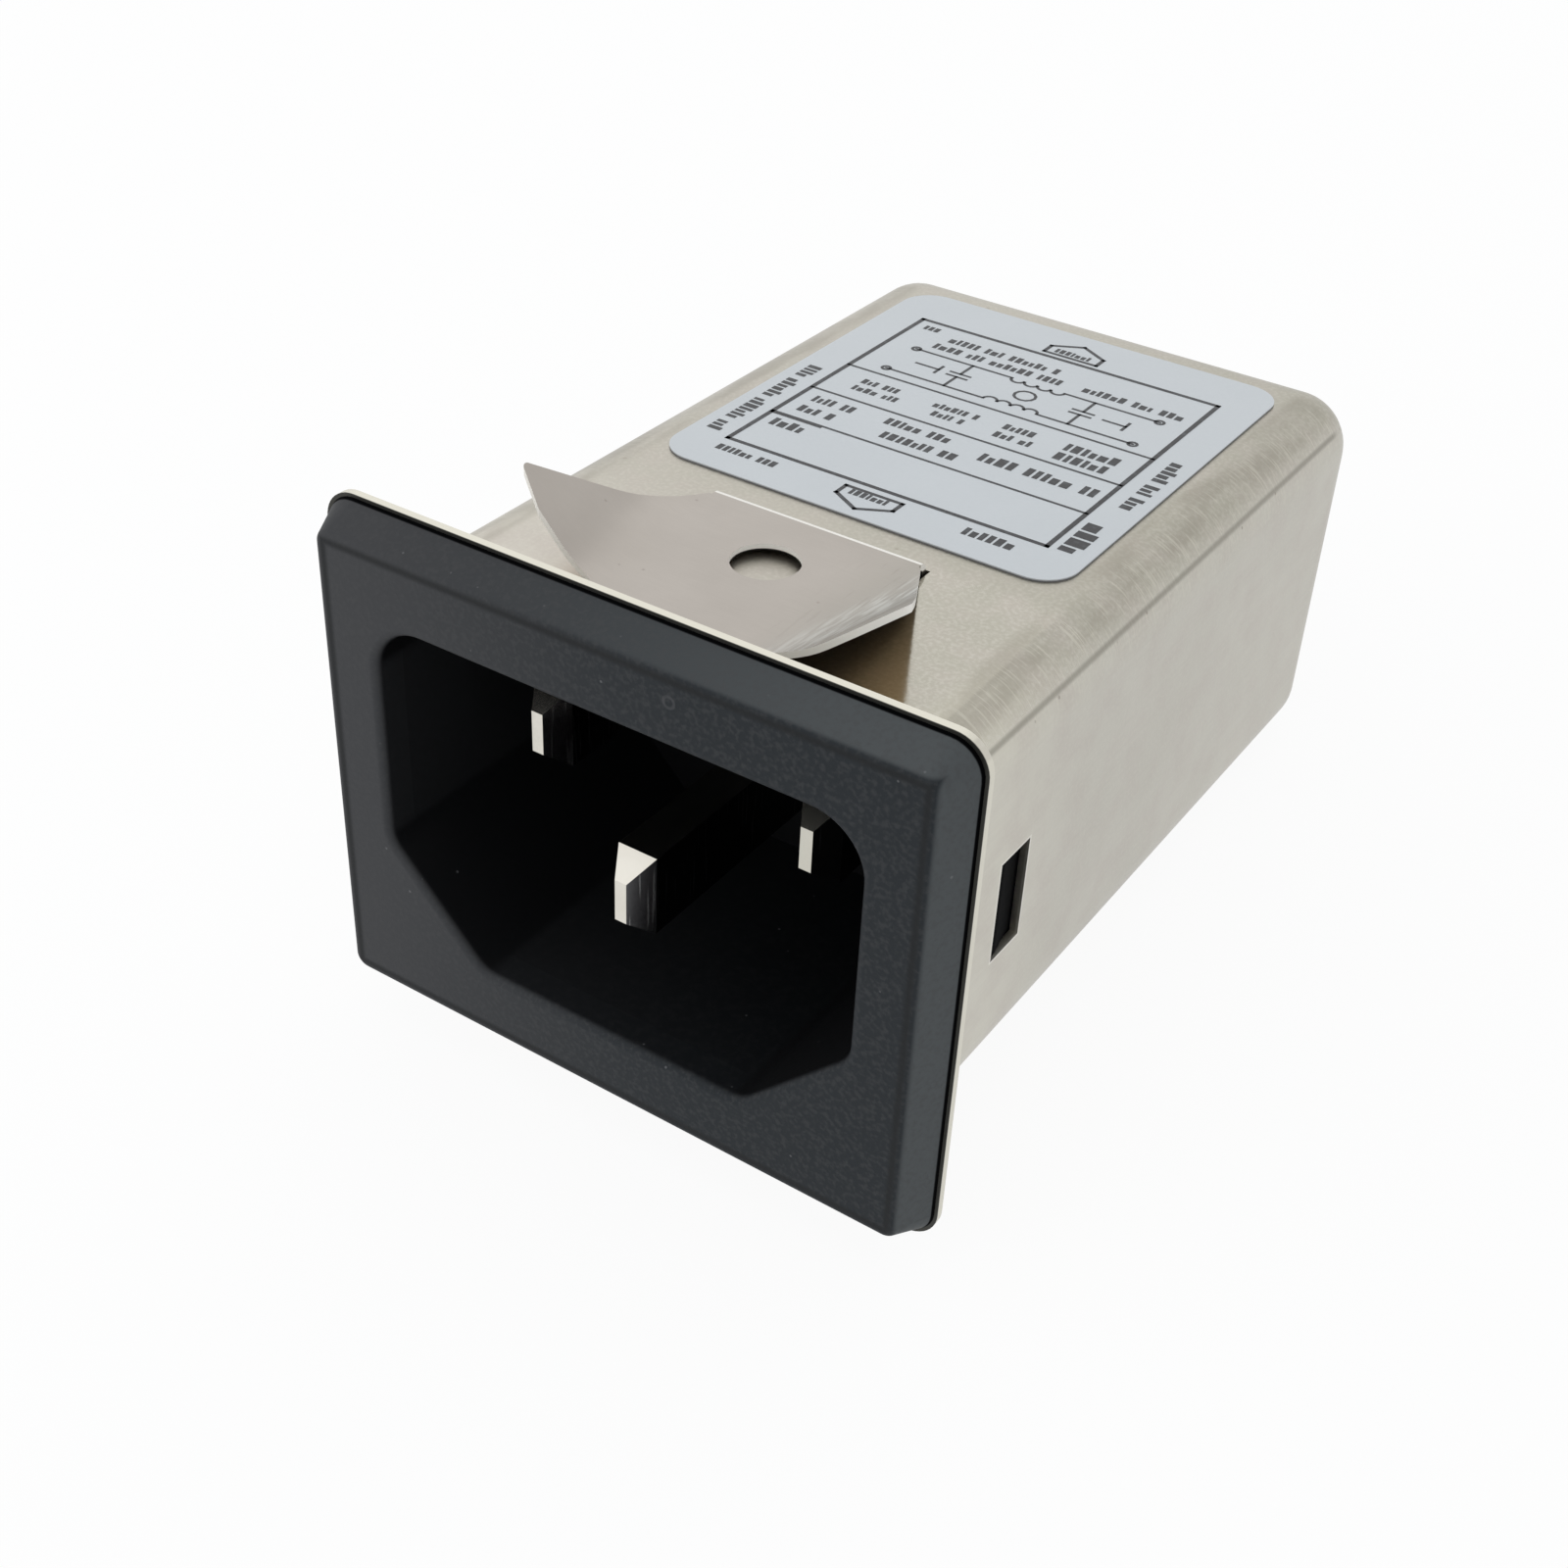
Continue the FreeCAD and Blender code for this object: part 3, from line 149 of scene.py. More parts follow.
class Finish(Nodes):
    """A surface finish: one surface shader and the nodes that vary it."""

    def __init__(self, name, metallic=0.0):
        self.material = bpy.data.materials.new(name)
        self.material.use_nodes = True
        super().__init__(self.material.node_tree)
        self.surface = self.tree.nodes["Principled BSDF"]
        self.wear("Metallic", metallic)
        place = self.add("ShaderNodeTexCoord", output="Object")
        self.place = self.add("ShaderNodeVectorMath", {"operation": "SCALE"},
                              {"Vector": place, "Scale": 1 / MM})
        self.x, self.y, self.z = self.split(self.place)

    def split(self, vector):
        """The three parts of a vector."""
        parts = self.add("ShaderNodeSeparateXYZ", {}, {"Vector": vector}).socket.node
        return [Reading(self, part) for part in parts.outputs]

    def facing(self):
        """The three parts of the direction that the surface faces."""
        return self.split(self.add("ShaderNodeTexCoord", output="Normal"))

    def wear(self, socket, value):
        """Sets or feeds one socket of the surface itself."""
        self.feed(self.surface.inputs[socket], value)

    def mix(self, factor, first, second):
        """A colour between two others."""
        first, second = (opaque(tone) if isinstance(tone, tuple) else tone for tone in (first, second))
        sockets = {MIX_FACTOR: factor, MIX_FIRST: first, MIX_SECOND: second}
        return self.add("ShaderNodeMix", {"data_type": "RGBA"}, sockets, output=MIX_RESULT)

    def noise(self, per_mm, detail=2.0, stretch=(1.0, 1.0, 1.0)):
        """Soft noise from 0 to 1, with about that many blotches to a millimetre."""
        spread = self.add("ShaderNodeVectorMath", {"operation": "MULTIPLY"}, {0: self.place, 1: stretch})
        sockets = {"Vector": spread, "Scale": per_mm, "Detail": detail}
        return self.add("ShaderNodeTexNoise", {}, sockets)

    def rise(self, value, low, high):
        """0 below low, 1 above high, smooth between."""
        return self.add("ShaderNodeMapRange", {"interpolation_type": "SMOOTHSTEP"},
                        {"Value": value, "From Min": low, "From Max": high})

    def within(self, value, low, high, soft=0.05):
        """1 between low and high, 0 outside."""
        return self.rise(value, low, low + soft) * (1 - self.rise(value, high - soft, high))

    def beyond(self, half_width, half_height):
        """How far a place lies outside an upright rectangle about the middle."""
        return self.math("MAXIMUM", abs(self.x) - half_width, abs(self.z) - half_height)

    def specks(self, per_mm, radius_mm, share):
        """1 in small round spots, one in that share of the cells of a loose grid."""
        sockets = {"Vector": self.place, "Scale": per_mm}
        cells = self.add("ShaderNodeTexVoronoi", {}, sockets, output="Distance")
        colour = Reading(self, cells.socket.node.outputs["Color"])
        chance = self.add("ShaderNodeSeparateColor", {}, {"Color": colour})
        reach = radius_mm * per_mm
        return (1 - self.rise(cells, reach * 0.5, reach)) * self.rise(chance, 1 - share, 1.02 - share)

    def relief(self, height, depth_mm, strength=1.0):
        """Gives the surface a fine relief from a height between 0 and 1."""
        sockets = {"Height": height, "Strength": strength, "Distance": depth_mm * MM}
        self.wear("Normal", self.add("ShaderNodeBump", {}, sockets))


def can_tone_with_painted_light(finish, cloud, flank):
    """The plate's tone with painted light: lighter on the sides and in front, darker towards the right of
    the top.
    """
    # Painted light: the front, the front shoulders and the sides are lightened, and the right of the top is
    # darkened.
    forward = 1 - finish.rise(finish.y, 3.0, 15.0)
    rightward = finish.rise(finish.x, -9.0, 9.0)
    shoulder = forward * finish.rise(abs(finish.x), CAN_SIDE - 3.4, CAN_SIDE - 1.6)
    top = finish.mix(cloud, (0.40, 0.385, 0.33), (0.49, 0.465, 0.41))
    top = finish.mix(rightward * 0.5, top, (0.34, 0.33, 0.27))
    top = finish.mix(forward * (1 - rightward) * 0.7, top, (0.60, 0.565, 0.51))
    top = finish.mix(shoulder * 0.6, top, (0.60, 0.58, 0.49))
    side = finish.mix(cloud, (0.46, 0.445, 0.39), (0.60, 0.585, 0.53))
    side = finish.mix(forward * 0.6, side, (0.66, 0.64, 0.56))
    return finish.mix(flank, top, side)


def can_edge_marks(finish, tone):
    """What the press left on the can's long rounded edges, a smear and fine scuffs, and a painted dark
    reflection line along the rounding.
    """
    turn = finish.math("ARCTAN2", abs(finish.x) - (CAN_SIDE - CAN_EDGE_RADIUS),
                       abs(finish.z) - (CAN_TOP - CAN_EDGE_RADIUS))
    lengthwise = finish.within(finish.y, 0.5, CAN_LENGTH - 2.4, 0.8)
    smear = finish.rise(finish.noise(0.5, detail=3.0, stretch=(1.6, 0.35, 1.0)), 0.35, 0.62)
    smear = smear * lengthwise * finish.within(abs(finish.x), CAN_SIDE - 3.2, CAN_SIDE - 0.6, 0.7)
    scuffs = finish.rise(finish.noise(1.0, detail=1.0, stretch=(0.6, 9.0, 0.6)), 0.55, 0.7)
    scuffs = scuffs * lengthwise * finish.within(turn, 0.1, 1.5, 0.3)
    # Painted reflection: a thin dark line along each rounded edge.
    dark_reflection_line = lengthwise * finish.within(turn, 0.96, 1.12, 0.07)
    tone = finish.mix(smear * 0.45, tone, (0.27, 0.25, 0.205))
    tone = finish.mix(scuffs * 0.35, tone, (0.62, 0.60, 0.52))
    return finish.mix(dark_reflection_line * 0.55, tone, (0.17, 0.16, 0.13))


def can_cut_edges(finish, tone):
    """The flange's rim with a painted highlight and its front face darkened with painted contact shade, and
    a painted highlight round the side windows.
    """
    # Painted highlights on the flange's rim and in a band round each side window.
    rim_highlight = finish.rise(finish.beyond(*FLANGE_RIM), 0, 0.1)
    wide, soft = WINDOW_HIGHLIGHT_WIDTH, WINDOW_HIGHLIGHT_WIDTH / 2
    window_highlight = finish.within(finish.y, WINDOW_FRONT - wide, WINDOW_BACK + wide, soft)
    window_highlight = window_highlight * finish.within(finish.z, WINDOW_LOW - wide, WINDOW_HIGH + wide, soft)
    window_highlight = window_highlight * finish.rise(abs(finish.x), CAN_SIDE - 0.16, CAN_SIDE - 0.10)
    # Painted contact shade: the flange's front face is painted nearly black.
    front = 1 - finish.rise(finish.y, FLANGE_FRONT + 0.01, FLANGE_FRONT + 0.06)
    tone = finish.mix(rim_highlight, tone, (0.66, 0.64, 0.56))
    tone = finish.mix(window_highlight * 0.45, tone, (0.88, 0.87, 0.82))
    return finish.mix(front, tone, (0.05, 0.05, 0.045))


def can_metal():
    """Drawn steel with a warm satin nickel plate: sandy, pitted on its sides, glossier by the clips."""
    finish = Finish("can_metal", metallic=1.0)
    cloud = finish.noise(0.16, detail=3.0)
    patch = finish.noise(0.5, detail=2.0)
    drawn = finish.noise(1.0, stretch=(7.0, 0.22, 7.0))
    sand = finish.noise(5.0, detail=4.0)
    flank = finish.rise(abs(finish.x), CAN_SIDE - 1.0, CAN_SIDE - 0.1)
    pits = finish.specks(1.4, 0.11, 0.30) * flank
    stains = finish.specks(0.9, 0.14, 0.10) * (1 - flank)
    rubbed = (1 - flank) * finish.within(finish.y, 1.0, 14.5, 2.0) * finish.rise(finish.x, 1.0, 5.0)
    # The plate's tone carries painted light: lighter sides and front, and a darker right of the top.
    tone = can_tone_with_painted_light(finish, cloud, flank)
    tone = finish.mix(finish.rise(patch, 0.35, 0.75) * 0.35, tone, (0.47, 0.42, 0.385))
    tone = finish.mix(drawn * 0.22, tone, (0.36, 0.34, 0.29))
    tone = finish.mix(finish.rise(sand, 0.4, 0.7) * 0.25, tone, (0.64, 0.62, 0.56))
    tone = can_edge_marks(finish, tone)
    tone = finish.mix(pits * 0.5, tone, (0.16, 0.13, 0.10))
    tone = finish.mix(stains * 0.3, tone, (0.20, 0.16, 0.12))
    finish.wear("Base Color", can_cut_edges(finish, tone))
    finish.wear("Roughness", 0.30 + sand * 0.10 + cloud * 0.08 - rubbed * 0.24)
    finish.relief(sand * 0.5 + drawn * 0.3 - pits * 0.8, 0.010, 0.5)
    return finish.material


def clip_hole_wall(finish):
    """1 on the wall of the hole in a clip's leaf."""
    off_y = finish.y - CLIP_HOLE_Y
    reach = finish.x * finish.x + off_y * off_y
    near = 1 - finish.rise(reach, CLIP_HOLE_RADIUS ** 2 + 0.1, CLIP_HOLE_RADIUS ** 2 + 0.3)
    return near * (1 - finish.rise(abs(finish.z), CLIP_TOP - 0.010, CLIP_TOP - 0.002))


def clip_painted_highlights(finish, upright, wall):
    """1 where highlights are painted: on the clip's cut edges, on the outside of its rear bend and high on
    the wall of its hole.
    """
    edge = 1 - finish.rise(abs(upright), 0.55, 0.70)
    cut = edge * (1 - wall) * (1 - finish.rise(finish.y, CLIP_BEND_Y - 0.2, CLIP_BEND_Y))
    bend = finish.rise(finish.y, CLIP_BEND_Y, CLIP_BEND_Y + 0.05)
    bend = bend * finish.rise(finish.z, CLIP_BEND_Z, CLIP_BEND_Z + 0.1)
    lip = wall * finish.rise(abs(finish.z), CLIP_TOP - 0.24, CLIP_TOP - 0.20)
    return finish.math("MAXIMUM", finish.math("MAXIMUM", cut, bend), lip)


def spring_metal():
    """Cold-rolled spring steel, a little pinker than the can, with painted highlights on its cut edges and
    rear bend, a painted shadow in its hole, and under the wings a warm tan painted reflection that turns to
    painted shade towards the middle.
    """
    finish = Finish("spring_metal")
    cloud = finish.noise(0.22, detail=3.0)
    rolled = finish.noise(1.0, stretch=(0.5, 9.0, 3.0))
    grain = finish.noise(8.0, detail=3.0)
    specks = finish.specks(1.1, 0.10, 0.12)
    lean = finish.rise(finish.x, 2.0, 7.0)
    strained = lean * finish.within(abs(finish.z), CLIP_TOP + 0.02, CLIP_TOP + 0.8, 0.12)
    streaks = finish.rise(finish.noise(1.0, detail=4.0, stretch=(6.0, 0.35, 7.0)), 0.38, 0.62) * strained
    scratches = finish.rise(finish.noise(1.0, detail=2.0, stretch=(5.0, 0.5, 2.0)), 0.60, 0.68) * lean
    upright = finish.facing()[2]
    inner = 1 - finish.rise(finish.z * upright, -6.0, -3.0)
    wall = clip_hole_wall(finish)
    painted_highlight = clip_painted_highlights(finish, upright, wall)
    # Painted light under the wings: a warm tan painted reflection, turning to painted shade towards the
    # middle.
    underside_reflection_and_shade = finish.mix(finish.rise(abs(finish.x), 5.5, 8.5), (0.26, 0.21, 0.165), (0.98, 0.74, 0.48))
    tone = finish.mix(cloud, (0.35, 0.32, 0.29), (0.45, 0.415, 0.38))
    tone = finish.mix(rolled * 0.25, tone, (0.34, 0.32, 0.29))
    tone = finish.mix(lean * 0.55, tone, (0.28, 0.272, 0.235))
    tone = finish.mix(scratches * 0.5, tone, (0.26, 0.24, 0.21))
    tone = finish.mix(streaks * 0.6, tone, (0.62, 0.63, 0.60))
    tone = finish.mix(specks * 0.35, tone, (0.20, 0.17, 0.15))
    tone = finish.mix(inner * 0.95, tone, underside_reflection_and_shade)
    # Painted shadow: the hole's wall is painted nearly black, and its upper part takes a painted highlight
    # instead.
    tone = finish.mix(wall, tone, (0.02, 0.02, 0.02))
    # Painted highlights: the cut edges, the rear bend and the upper hole wall are painted near white and
    # made less metallic.
    finish.wear("Base Color", finish.mix(painted_highlight, tone, (0.92, 0.89, 0.83)))
    finish.wear("Metallic", (1 - painted_highlight) * (1 - inner * 0.6))
    finish.wear("Roughness", 0.26 + grain * 0.10 + rolled * 0.06 + painted_highlight * 0.2)
    finish.relief(grain * 0.5 + rolled * 0.5, 0.006, 0.5)
    return finish.material


def gate_ring(finish):
    """1 on the small ring that the mould's gate left on the bezel."""
    off_x, off_z = finish.x - GATE_MARK_X, finish.z - GATE_MARK_Z
    reach = off_x * off_x + off_z * off_z
    return finish.rise(reach, 0.02, 0.05) * (1 - finish.rise(reach, 0.07, 0.12))


def black_moulding():
    """Charcoal plastic with a fine spark texture outside, paler to its left and on its sloping band as
    painted light, with a painted dark line round the front face; smoother in the socket, and nearly black
    in the socket and behind as painted shade.
    """
    finish = Finish("black_moulding")
    finish.wear("Specular IOR Level", 0.22)
    spark = finish.noise(4.2, detail=4.0)
    cloud = finish.noise(0.14, detail=2.0)
    inside = finish.within(finish.x, -SOCKET_SIDE, SOCKET_SIDE, 0.3)
    inside = inside * finish.within(finish.z, -SOCKET_TOP, SOCKET_TOP, 0.3)
    socket = inside * finish.rise(finish.y, BEZEL_FRONT + 0.03, BEZEL_FRONT + 0.40)
    # Painted shade: inside the socket and behind the flange the moulding is painted nearly black.
    behind = finish.rise(finish.y, FLANGE_FRONT - 0.19, FLANGE_FRONT - 0.12) * (1 - inside)
    recess_painted_shade = finish.math("MAXIMUM", socket, behind)
    brim = finish.beyond(*BEZEL_FACE)
    front_edge_shade = finish.within(brim, -0.45, 0.15, 0.28)
    band = finish.rise(brim, 0.10, 0.30) * finish.rise(finish.x, -12.0, 15.0)
    left_painted_light = 1 - finish.rise(finish.x, -16.0, 6.0)
    mouth = finish.within(finish.y, BEZEL_FRONT + 0.05, BEZEL_FRONT + 0.7, 0.2)
    worn = mouth * finish.specks(2.2, 0.07, 0.30)
    dust = finish.specks(0.9, 0.085, 0.22)
    gate = gate_ring(finish)
    tone = finish.mix(cloud, (0.009, 0.013, 0.017), (0.014, 0.017, 0.020))
    # Painted light: the moulding is paler towards its left.
    tone = finish.mix(left_painted_light * 0.70, tone, (0.052, 0.052, 0.055))
    # Painted light: the sloping band round the front face is lightened, more towards the right.
    tone = finish.mix(band * 0.8, tone, (0.078, 0.086, 0.089))
    tone = finish.mix(finish.rise(spark, 0.42, 0.70) * 0.4, tone, (0.052, 0.053, 0.055))
    # Painted shade: a near-black line round the edge of the front face.
    tone = finish.mix(front_edge_shade * 0.8, tone, (0.004, 0.005, 0.006))
    tone = finish.mix(recess_painted_shade, tone, (0.0042, 0.0044, 0.0052))
    tone = finish.mix(dust * 0.30 + worn * 0.25, tone, (0.25, 0.25, 0.26))
    finish.wear("Base Color", finish.mix(gate * 0.25, tone, (0.11, 0.11, 0.115)))
    # Painted shade: behind the flange the surface is made metallic, near black and fully rough, so it shows
    # only black.
    finish.wear("Metallic", behind)
    finish.wear("Roughness", 0.55 + spark * 0.12 - socket * 0.12 + behind * 0.33)
    finish.relief(spark * (1 - recess_painted_shade * 0.8) - gate * 0.8, 0.02, 0.6)
    return finish.material


def pin_metal():
    """Bright nickel plate on the sheared ends, drawn, with the sides painted dark as a painted reflection
    of the dark socket, and fine lighter streaks on them.
    """
    finish = Finish("pin_metal", metallic=1.0)
    drawn = finish.noise(2.0, stretch=(6.0, 0.4, 6.0))
    upright = finish.noise(1.0, detail=1.0, stretch=(6.0, 6.0, 0.3))
    cloud = finish.noise(0.6, detail=3.0)
    across = finish.facing()[0]
    side = finish.rise(abs(across), 0.6, 0.8)
    tone = finish.mix(cloud, (0.68, 0.65, 0.58), (0.80, 0.78, 0.72))
    tone = finish.mix(drawn * 0.2, tone, (0.50, 0.47, 0.42))
    tone = finish.mix(finish.rise(finish.x, 4.0, 5.0) * 0.5, tone, (0.44, 0.435, 0.37))
    # Painted reflection: the sides are painted dark, with fine lighter streaks.
    dark_side_reflection = finish.mix(finish.rise(upright, 0.60, 0.68), (0.13, 0.13, 0.135), (0.42, 0.42, 0.42))
    finish.wear("Base Color", finish.mix(side, tone, dark_side_reflection))
    finish.wear("Roughness", 0.14 + drawn * 0.12)
    finish.relief(drawn, 0.003, 0.3)
    return finish.material


def label_film():
    """A pale blue-grey film, a little uneven, with a darker cut edge."""
    finish = Finish("label_film")
    cloud = finish.noise(0.22, detail=3.0)
    grain = finish.noise(7.0, detail=2.0)
    edge = 1 - finish.rise(finish.z, CAN_TOP + 0.03, LABEL_TOP - 0.01)
    tone = finish.mix(cloud, (0.56, 0.59, 0.61), (0.60, 0.63, 0.65))
    tone = finish.mix(grain * 0.12, tone, (0.40, 0.43, 0.46))
    tone = finish.mix(edge, tone, (0.13, 0.13, 0.14))
    finish.wear("Base Color", tone)
    finish.wear("Roughness", 0.36 + grain * 0.10)
    finish.relief(grain * 0.3 + cloud * 0.7, 0.006, 0.3)
    return finish.material


def ink():
    """Dark grey print, thinner in places."""
    finish = Finish("ink")
    thin = finish.noise(3.0, detail=3.0)
    tone = finish.mix(finish.rise(thin, 0.45, 0.75), (0.012, 0.012, 0.015), (0.05, 0.055, 0.06))
    finish.wear("Base Color", tone)
    finish.wear("Roughness", 0.42 + thin * 0.1)
    return finish.material


def board_laminate():
    """Green solder mask over a woven laminate, with bare straw-coloured edges."""
    finish = Finish("board_laminate")
    weave = finish.noise(2.2, stretch=(1.0, 4.0, 1.0))
    cloud = finish.noise(0.3, detail=3.0)
    edge = finish.rise(abs(finish.x), BOARD_SIDE - 0.2, BOARD_SIDE - 0.05)
    tone = finish.mix(cloud, (0.022, 0.085, 0.035), (0.03, 0.12, 0.05))
    tone = finish.mix(weave * 0.2, tone, (0.05, 0.16, 0.07))
    tone = finish.mix(edge, tone, (0.35, 0.33, 0.18))
    finish.wear("Base Color", tone)
    finish.wear("Roughness", 0.30 + weave * 0.15)
    finish.relief(weave, 0.008, 0.5)
    return finish.material


def ferrite():
    """Sintered ferrite, dark and dull, with small pits."""
    finish = Finish("ferrite")
    grain = finish.noise(6.0, detail=4.0)
    pits = finish.rise(finish.noise(3.0, detail=1.0), 0.66, 0.72)
    tone = finish.mix(grain, (0.03, 0.03, 0.032), (0.06, 0.06, 0.063))
    finish.wear("Base Color", finish.mix(pits, tone, (0.012, 0.012, 0.012)))
    finish.wear("Roughness", 0.6 + grain * 0.2)
    finish.relief(grain - pits * 0.6, 0.02, 0.6)
    return finish.material


def magnet_wire():
    """Enamelled copper, with the lacquer a little uneven."""
    finish = Finish("magnet_wire", metallic=1.0)
    cloud = finish.noise(0.8, detail=3.0)
    grain = finish.noise(8.0, detail=2.0)
    tone = finish.mix(cloud, (0.50, 0.17, 0.07), (0.62, 0.25, 0.11))
    finish.wear("Base Color", tone)
    finish.wear("Roughness", 0.25 + grain * 0.12)
    finish.relief(grain, 0.006, 0.4)
    return finish.material


def insulation():
    """Smooth dark moulded insulation with faint flow marks."""
    finish = Finish("insulation")
    flow = finish.noise(0.5, detail=4.0, stretch=(1.0, 1.0, 0.4))
    grain = finish.noise(6.0, detail=3.0)
    tone = finish.mix(flow, (0.022, 0.022, 0.024), (0.034, 0.034, 0.037))
    finish.wear("Base Color", tone)
    finish.wear("Roughness", 0.42 + grain * 0.14)
    finish.relief(grain, 0.010, 0.5)
    return finish.material


def capacitor_case():
    """A moulded case, slightly mottled, tinned leads below."""
    finish = Finish("capacitor_case")
    cloud = finish.noise(0.4, detail=3.0)
    grain = finish.noise(5.0, detail=3.0)
    lead = 1 - finish.rise(finish.z, BOARD_TOP - 0.02, BOARD_TOP + 0.01)
    tone = finish.mix(cloud, (0.55, 0.38, 0.05), (0.63, 0.46, 0.08))
    finish.wear("Base Color", finish.mix(lead, tone, TINNED))
    finish.wear("Metallic", lead)
    finish.wear("Roughness", 0.34 + grain * 0.12)
    finish.relief(grain, 0.010, 0.4)
    return finish.material


def capacitor_coat():
    """A dipped ceramic disc with a glossy blue coat, tinned leads below."""
    finish = Finish("capacitor_coat")
    cloud = finish.noise(0.7, detail=3.0)
    lead = 1 - finish.rise(finish.z, DISC_LOW - 0.2, DISC_LOW + 0.1)
    tone = finish.mix(cloud, (0.015, 0.09, 0.30), (0.025, 0.13, 0.38))
    finish.wear("Base Color", finish.mix(lead, tone, TINNED))
    finish.wear("Metallic", lead)
    finish.wear("Roughness", 0.20 + cloud * 0.12)
    finish.relief(cloud, 0.03, 0.5)
    return finish.material


def resistor_body():
    """Lacquered beige with colour bands, on tinned leads."""
    finish = Finish("resistor_body")
    cloud = finish.noise(1.0, detail=3.0)
    lead = finish.rise(abs(finish.x), RESISTOR_END - 0.01, RESISTOR_END + 0.01)
    tone = finish.mix(cloud, (0.52, 0.40, 0.22), (0.58, 0.46, 0.27))
    bands = {
        -2.3: (0.20, 0.06, 0.02),
        -1.0: (0.01, 0.01, 0.01),
        0.0: (0.45, 0.30, 0.02),
        2.3: (0.40, 0.26, 0.06),
    }
    for middle, band in bands.items():
        tone = finish.mix(finish.within(finish.x, middle - 0.3, middle + 0.3), tone, band)
    finish.wear("Base Color", finish.mix(lead, tone, TINNED))
    finish.wear("Metallic", lead)
    finish.wear("Roughness", 0.28 + cloud * 0.12)
    finish.relief(cloud, 0.01, 0.4)
    return finish.material


def terminal_metal():
    """Bright tin plate with light handling marks."""
    finish = Finish("terminal_metal", metallic=1.0)
    cloud = finish.noise(0.5, detail=3.0)
    marks = finish.noise(1.6, stretch=(4.0, 0.6, 4.0))
    tone = finish.mix(cloud, (0.60, 0.585, 0.55), (0.70, 0.69, 0.66))
    tone = finish.mix(marks * 0.2, tone, (0.42, 0.41, 0.38))
    finish.wear("Base Color", tone)
    finish.wear("Roughness", 0.24 + marks * 0.16)
    finish.relief(marks, 0.005, 0.5)
    return finish.material


def liner_film():
    """Thin insulating film, milky and a little creased."""
    finish = Finish("liner_film")
    cloud = finish.noise(0.4, detail=3.0)
    crease = finish.noise(1.2, detail=2.0, stretch=(0.4, 2.0, 1.0))
    tone = finish.mix(cloud, (0.50, 0.48, 0.40), (0.60, 0.58, 0.50))
    finish.wear("Base Color", tone)
    finish.wear("Roughness", 0.35 + crease * 0.2)
    finish.relief(crease, 0.02, 0.4)
    return finish.material


FINISHES = {
    "can_metal": can_metal,
    "black_moulding": black_moulding,
    "pin_metal": pin_metal,
    "spring_metal": spring_metal,
    "label_film": label_film,
    "board_laminate": board_laminate,
    "ferrite": ferrite,
    "magnet_wire": magnet_wire,
    "insulation": insulation,
    "capacitor_case": capacitor_case,
    "capacitor_coat": capacitor_coat,
    "resistor_body": resistor_body,
    "terminal_metal": terminal_metal,
    "liner_film": liner_film,
}


def finish_nodes():
    """Gives every solid the finish of its slot."""
    made = {slot: build() for slot, build in FINISHES.items()}
    for entry in frame["record"]["subparts"]:
        solid = frame["nodes"][entry["node"]]
        solid.data.materials.clear()
        solid.data.materials.append(made[entry["material_slot"]])


# The label's print, as flat shapes in millimetres on the label's face
PRINT_LIFT = 0.008
LINE_WIDTH = 0.16
FRAME_WIDTH = 0.25
ARROW_WIDTH = 0.21
FRAME_SIDE = 8.5
FRAME_FRONT = 18.35
FRAME_BACK = 36.4
RULES = (22.15, 25.6, 29.0)
SHORT_RULE, SHORT_RULE_END = 22.0, -5.7
FRONT_ARROW, BACK_ARROW = 17.75, 36.85
ARROW_HALF = 1.5
ARROW_DEPTH = 1.7
ARROW_WORD_HEIGHT, ARROW_WORD_LIFT, ARROW_WORD_SEED = 0.5, 0.22, 5

# Each level row of blocks: where it starts, its length, its height and the seed of its pattern
WORD_ROWS = [
    ((-8.4, 17.1), 3.8, 0.55, 11),
    ((4.9, 17.0), 3.2, 0.7, 12),
    ((-7.9, 20.8), 2.2, 0.8, 13),
    ((-7.7, 22.9), 2.0, 0.7, 14),
    ((-7.7, 24.2), 2.4, 0.7, 15),
    ((-3.6, 24.3), 4.0, 0.7, 16),
    ((-3.0, 22.9), 4.2, 0.7, 17),
    ((1.9, 23.7), 6.1, 0.85, 18),
    ((-6.9, 27.5), 2.2, 0.55, 19),
    ((-6.9, 26.6), 2.6, 0.55, 20),
    ((-2.7, 27.4), 2.6, 0.55, 25),
    ((-2.3, 26.5), 1.8, 0.55, 26),
    ((1.2, 27.4), 1.9, 0.6, 27),
    ((1.2, 26.4), 2.2, 0.6, 28),
    ((4.6, 27.2), 2.9, 0.8, 29),
    ((4.6, 26.1), 2.9, 0.8, 30),
    ((-7.9, 35.3), 1.2, 0.5, 21),
    ((-6.3, 33.5), 7.6, 0.65, 22),
    ((-6.0, 34.6), 6.6, 0.65, 23),
    ((2.3, 33.6), 5.6, 0.65, 24),
]

# The upright rows beside the frame, which also say how wide a block is to its height
UPRIGHT_ROWS = [
    ((-10.0, 18.7), 9.9, 0.75, 31, 0.5),
    ((9.35, 23.6), 6.3, 0.75, 32, 0.5),
    ((8.95, 18.4), 3.6, 1.0, 33, 0.7),
]


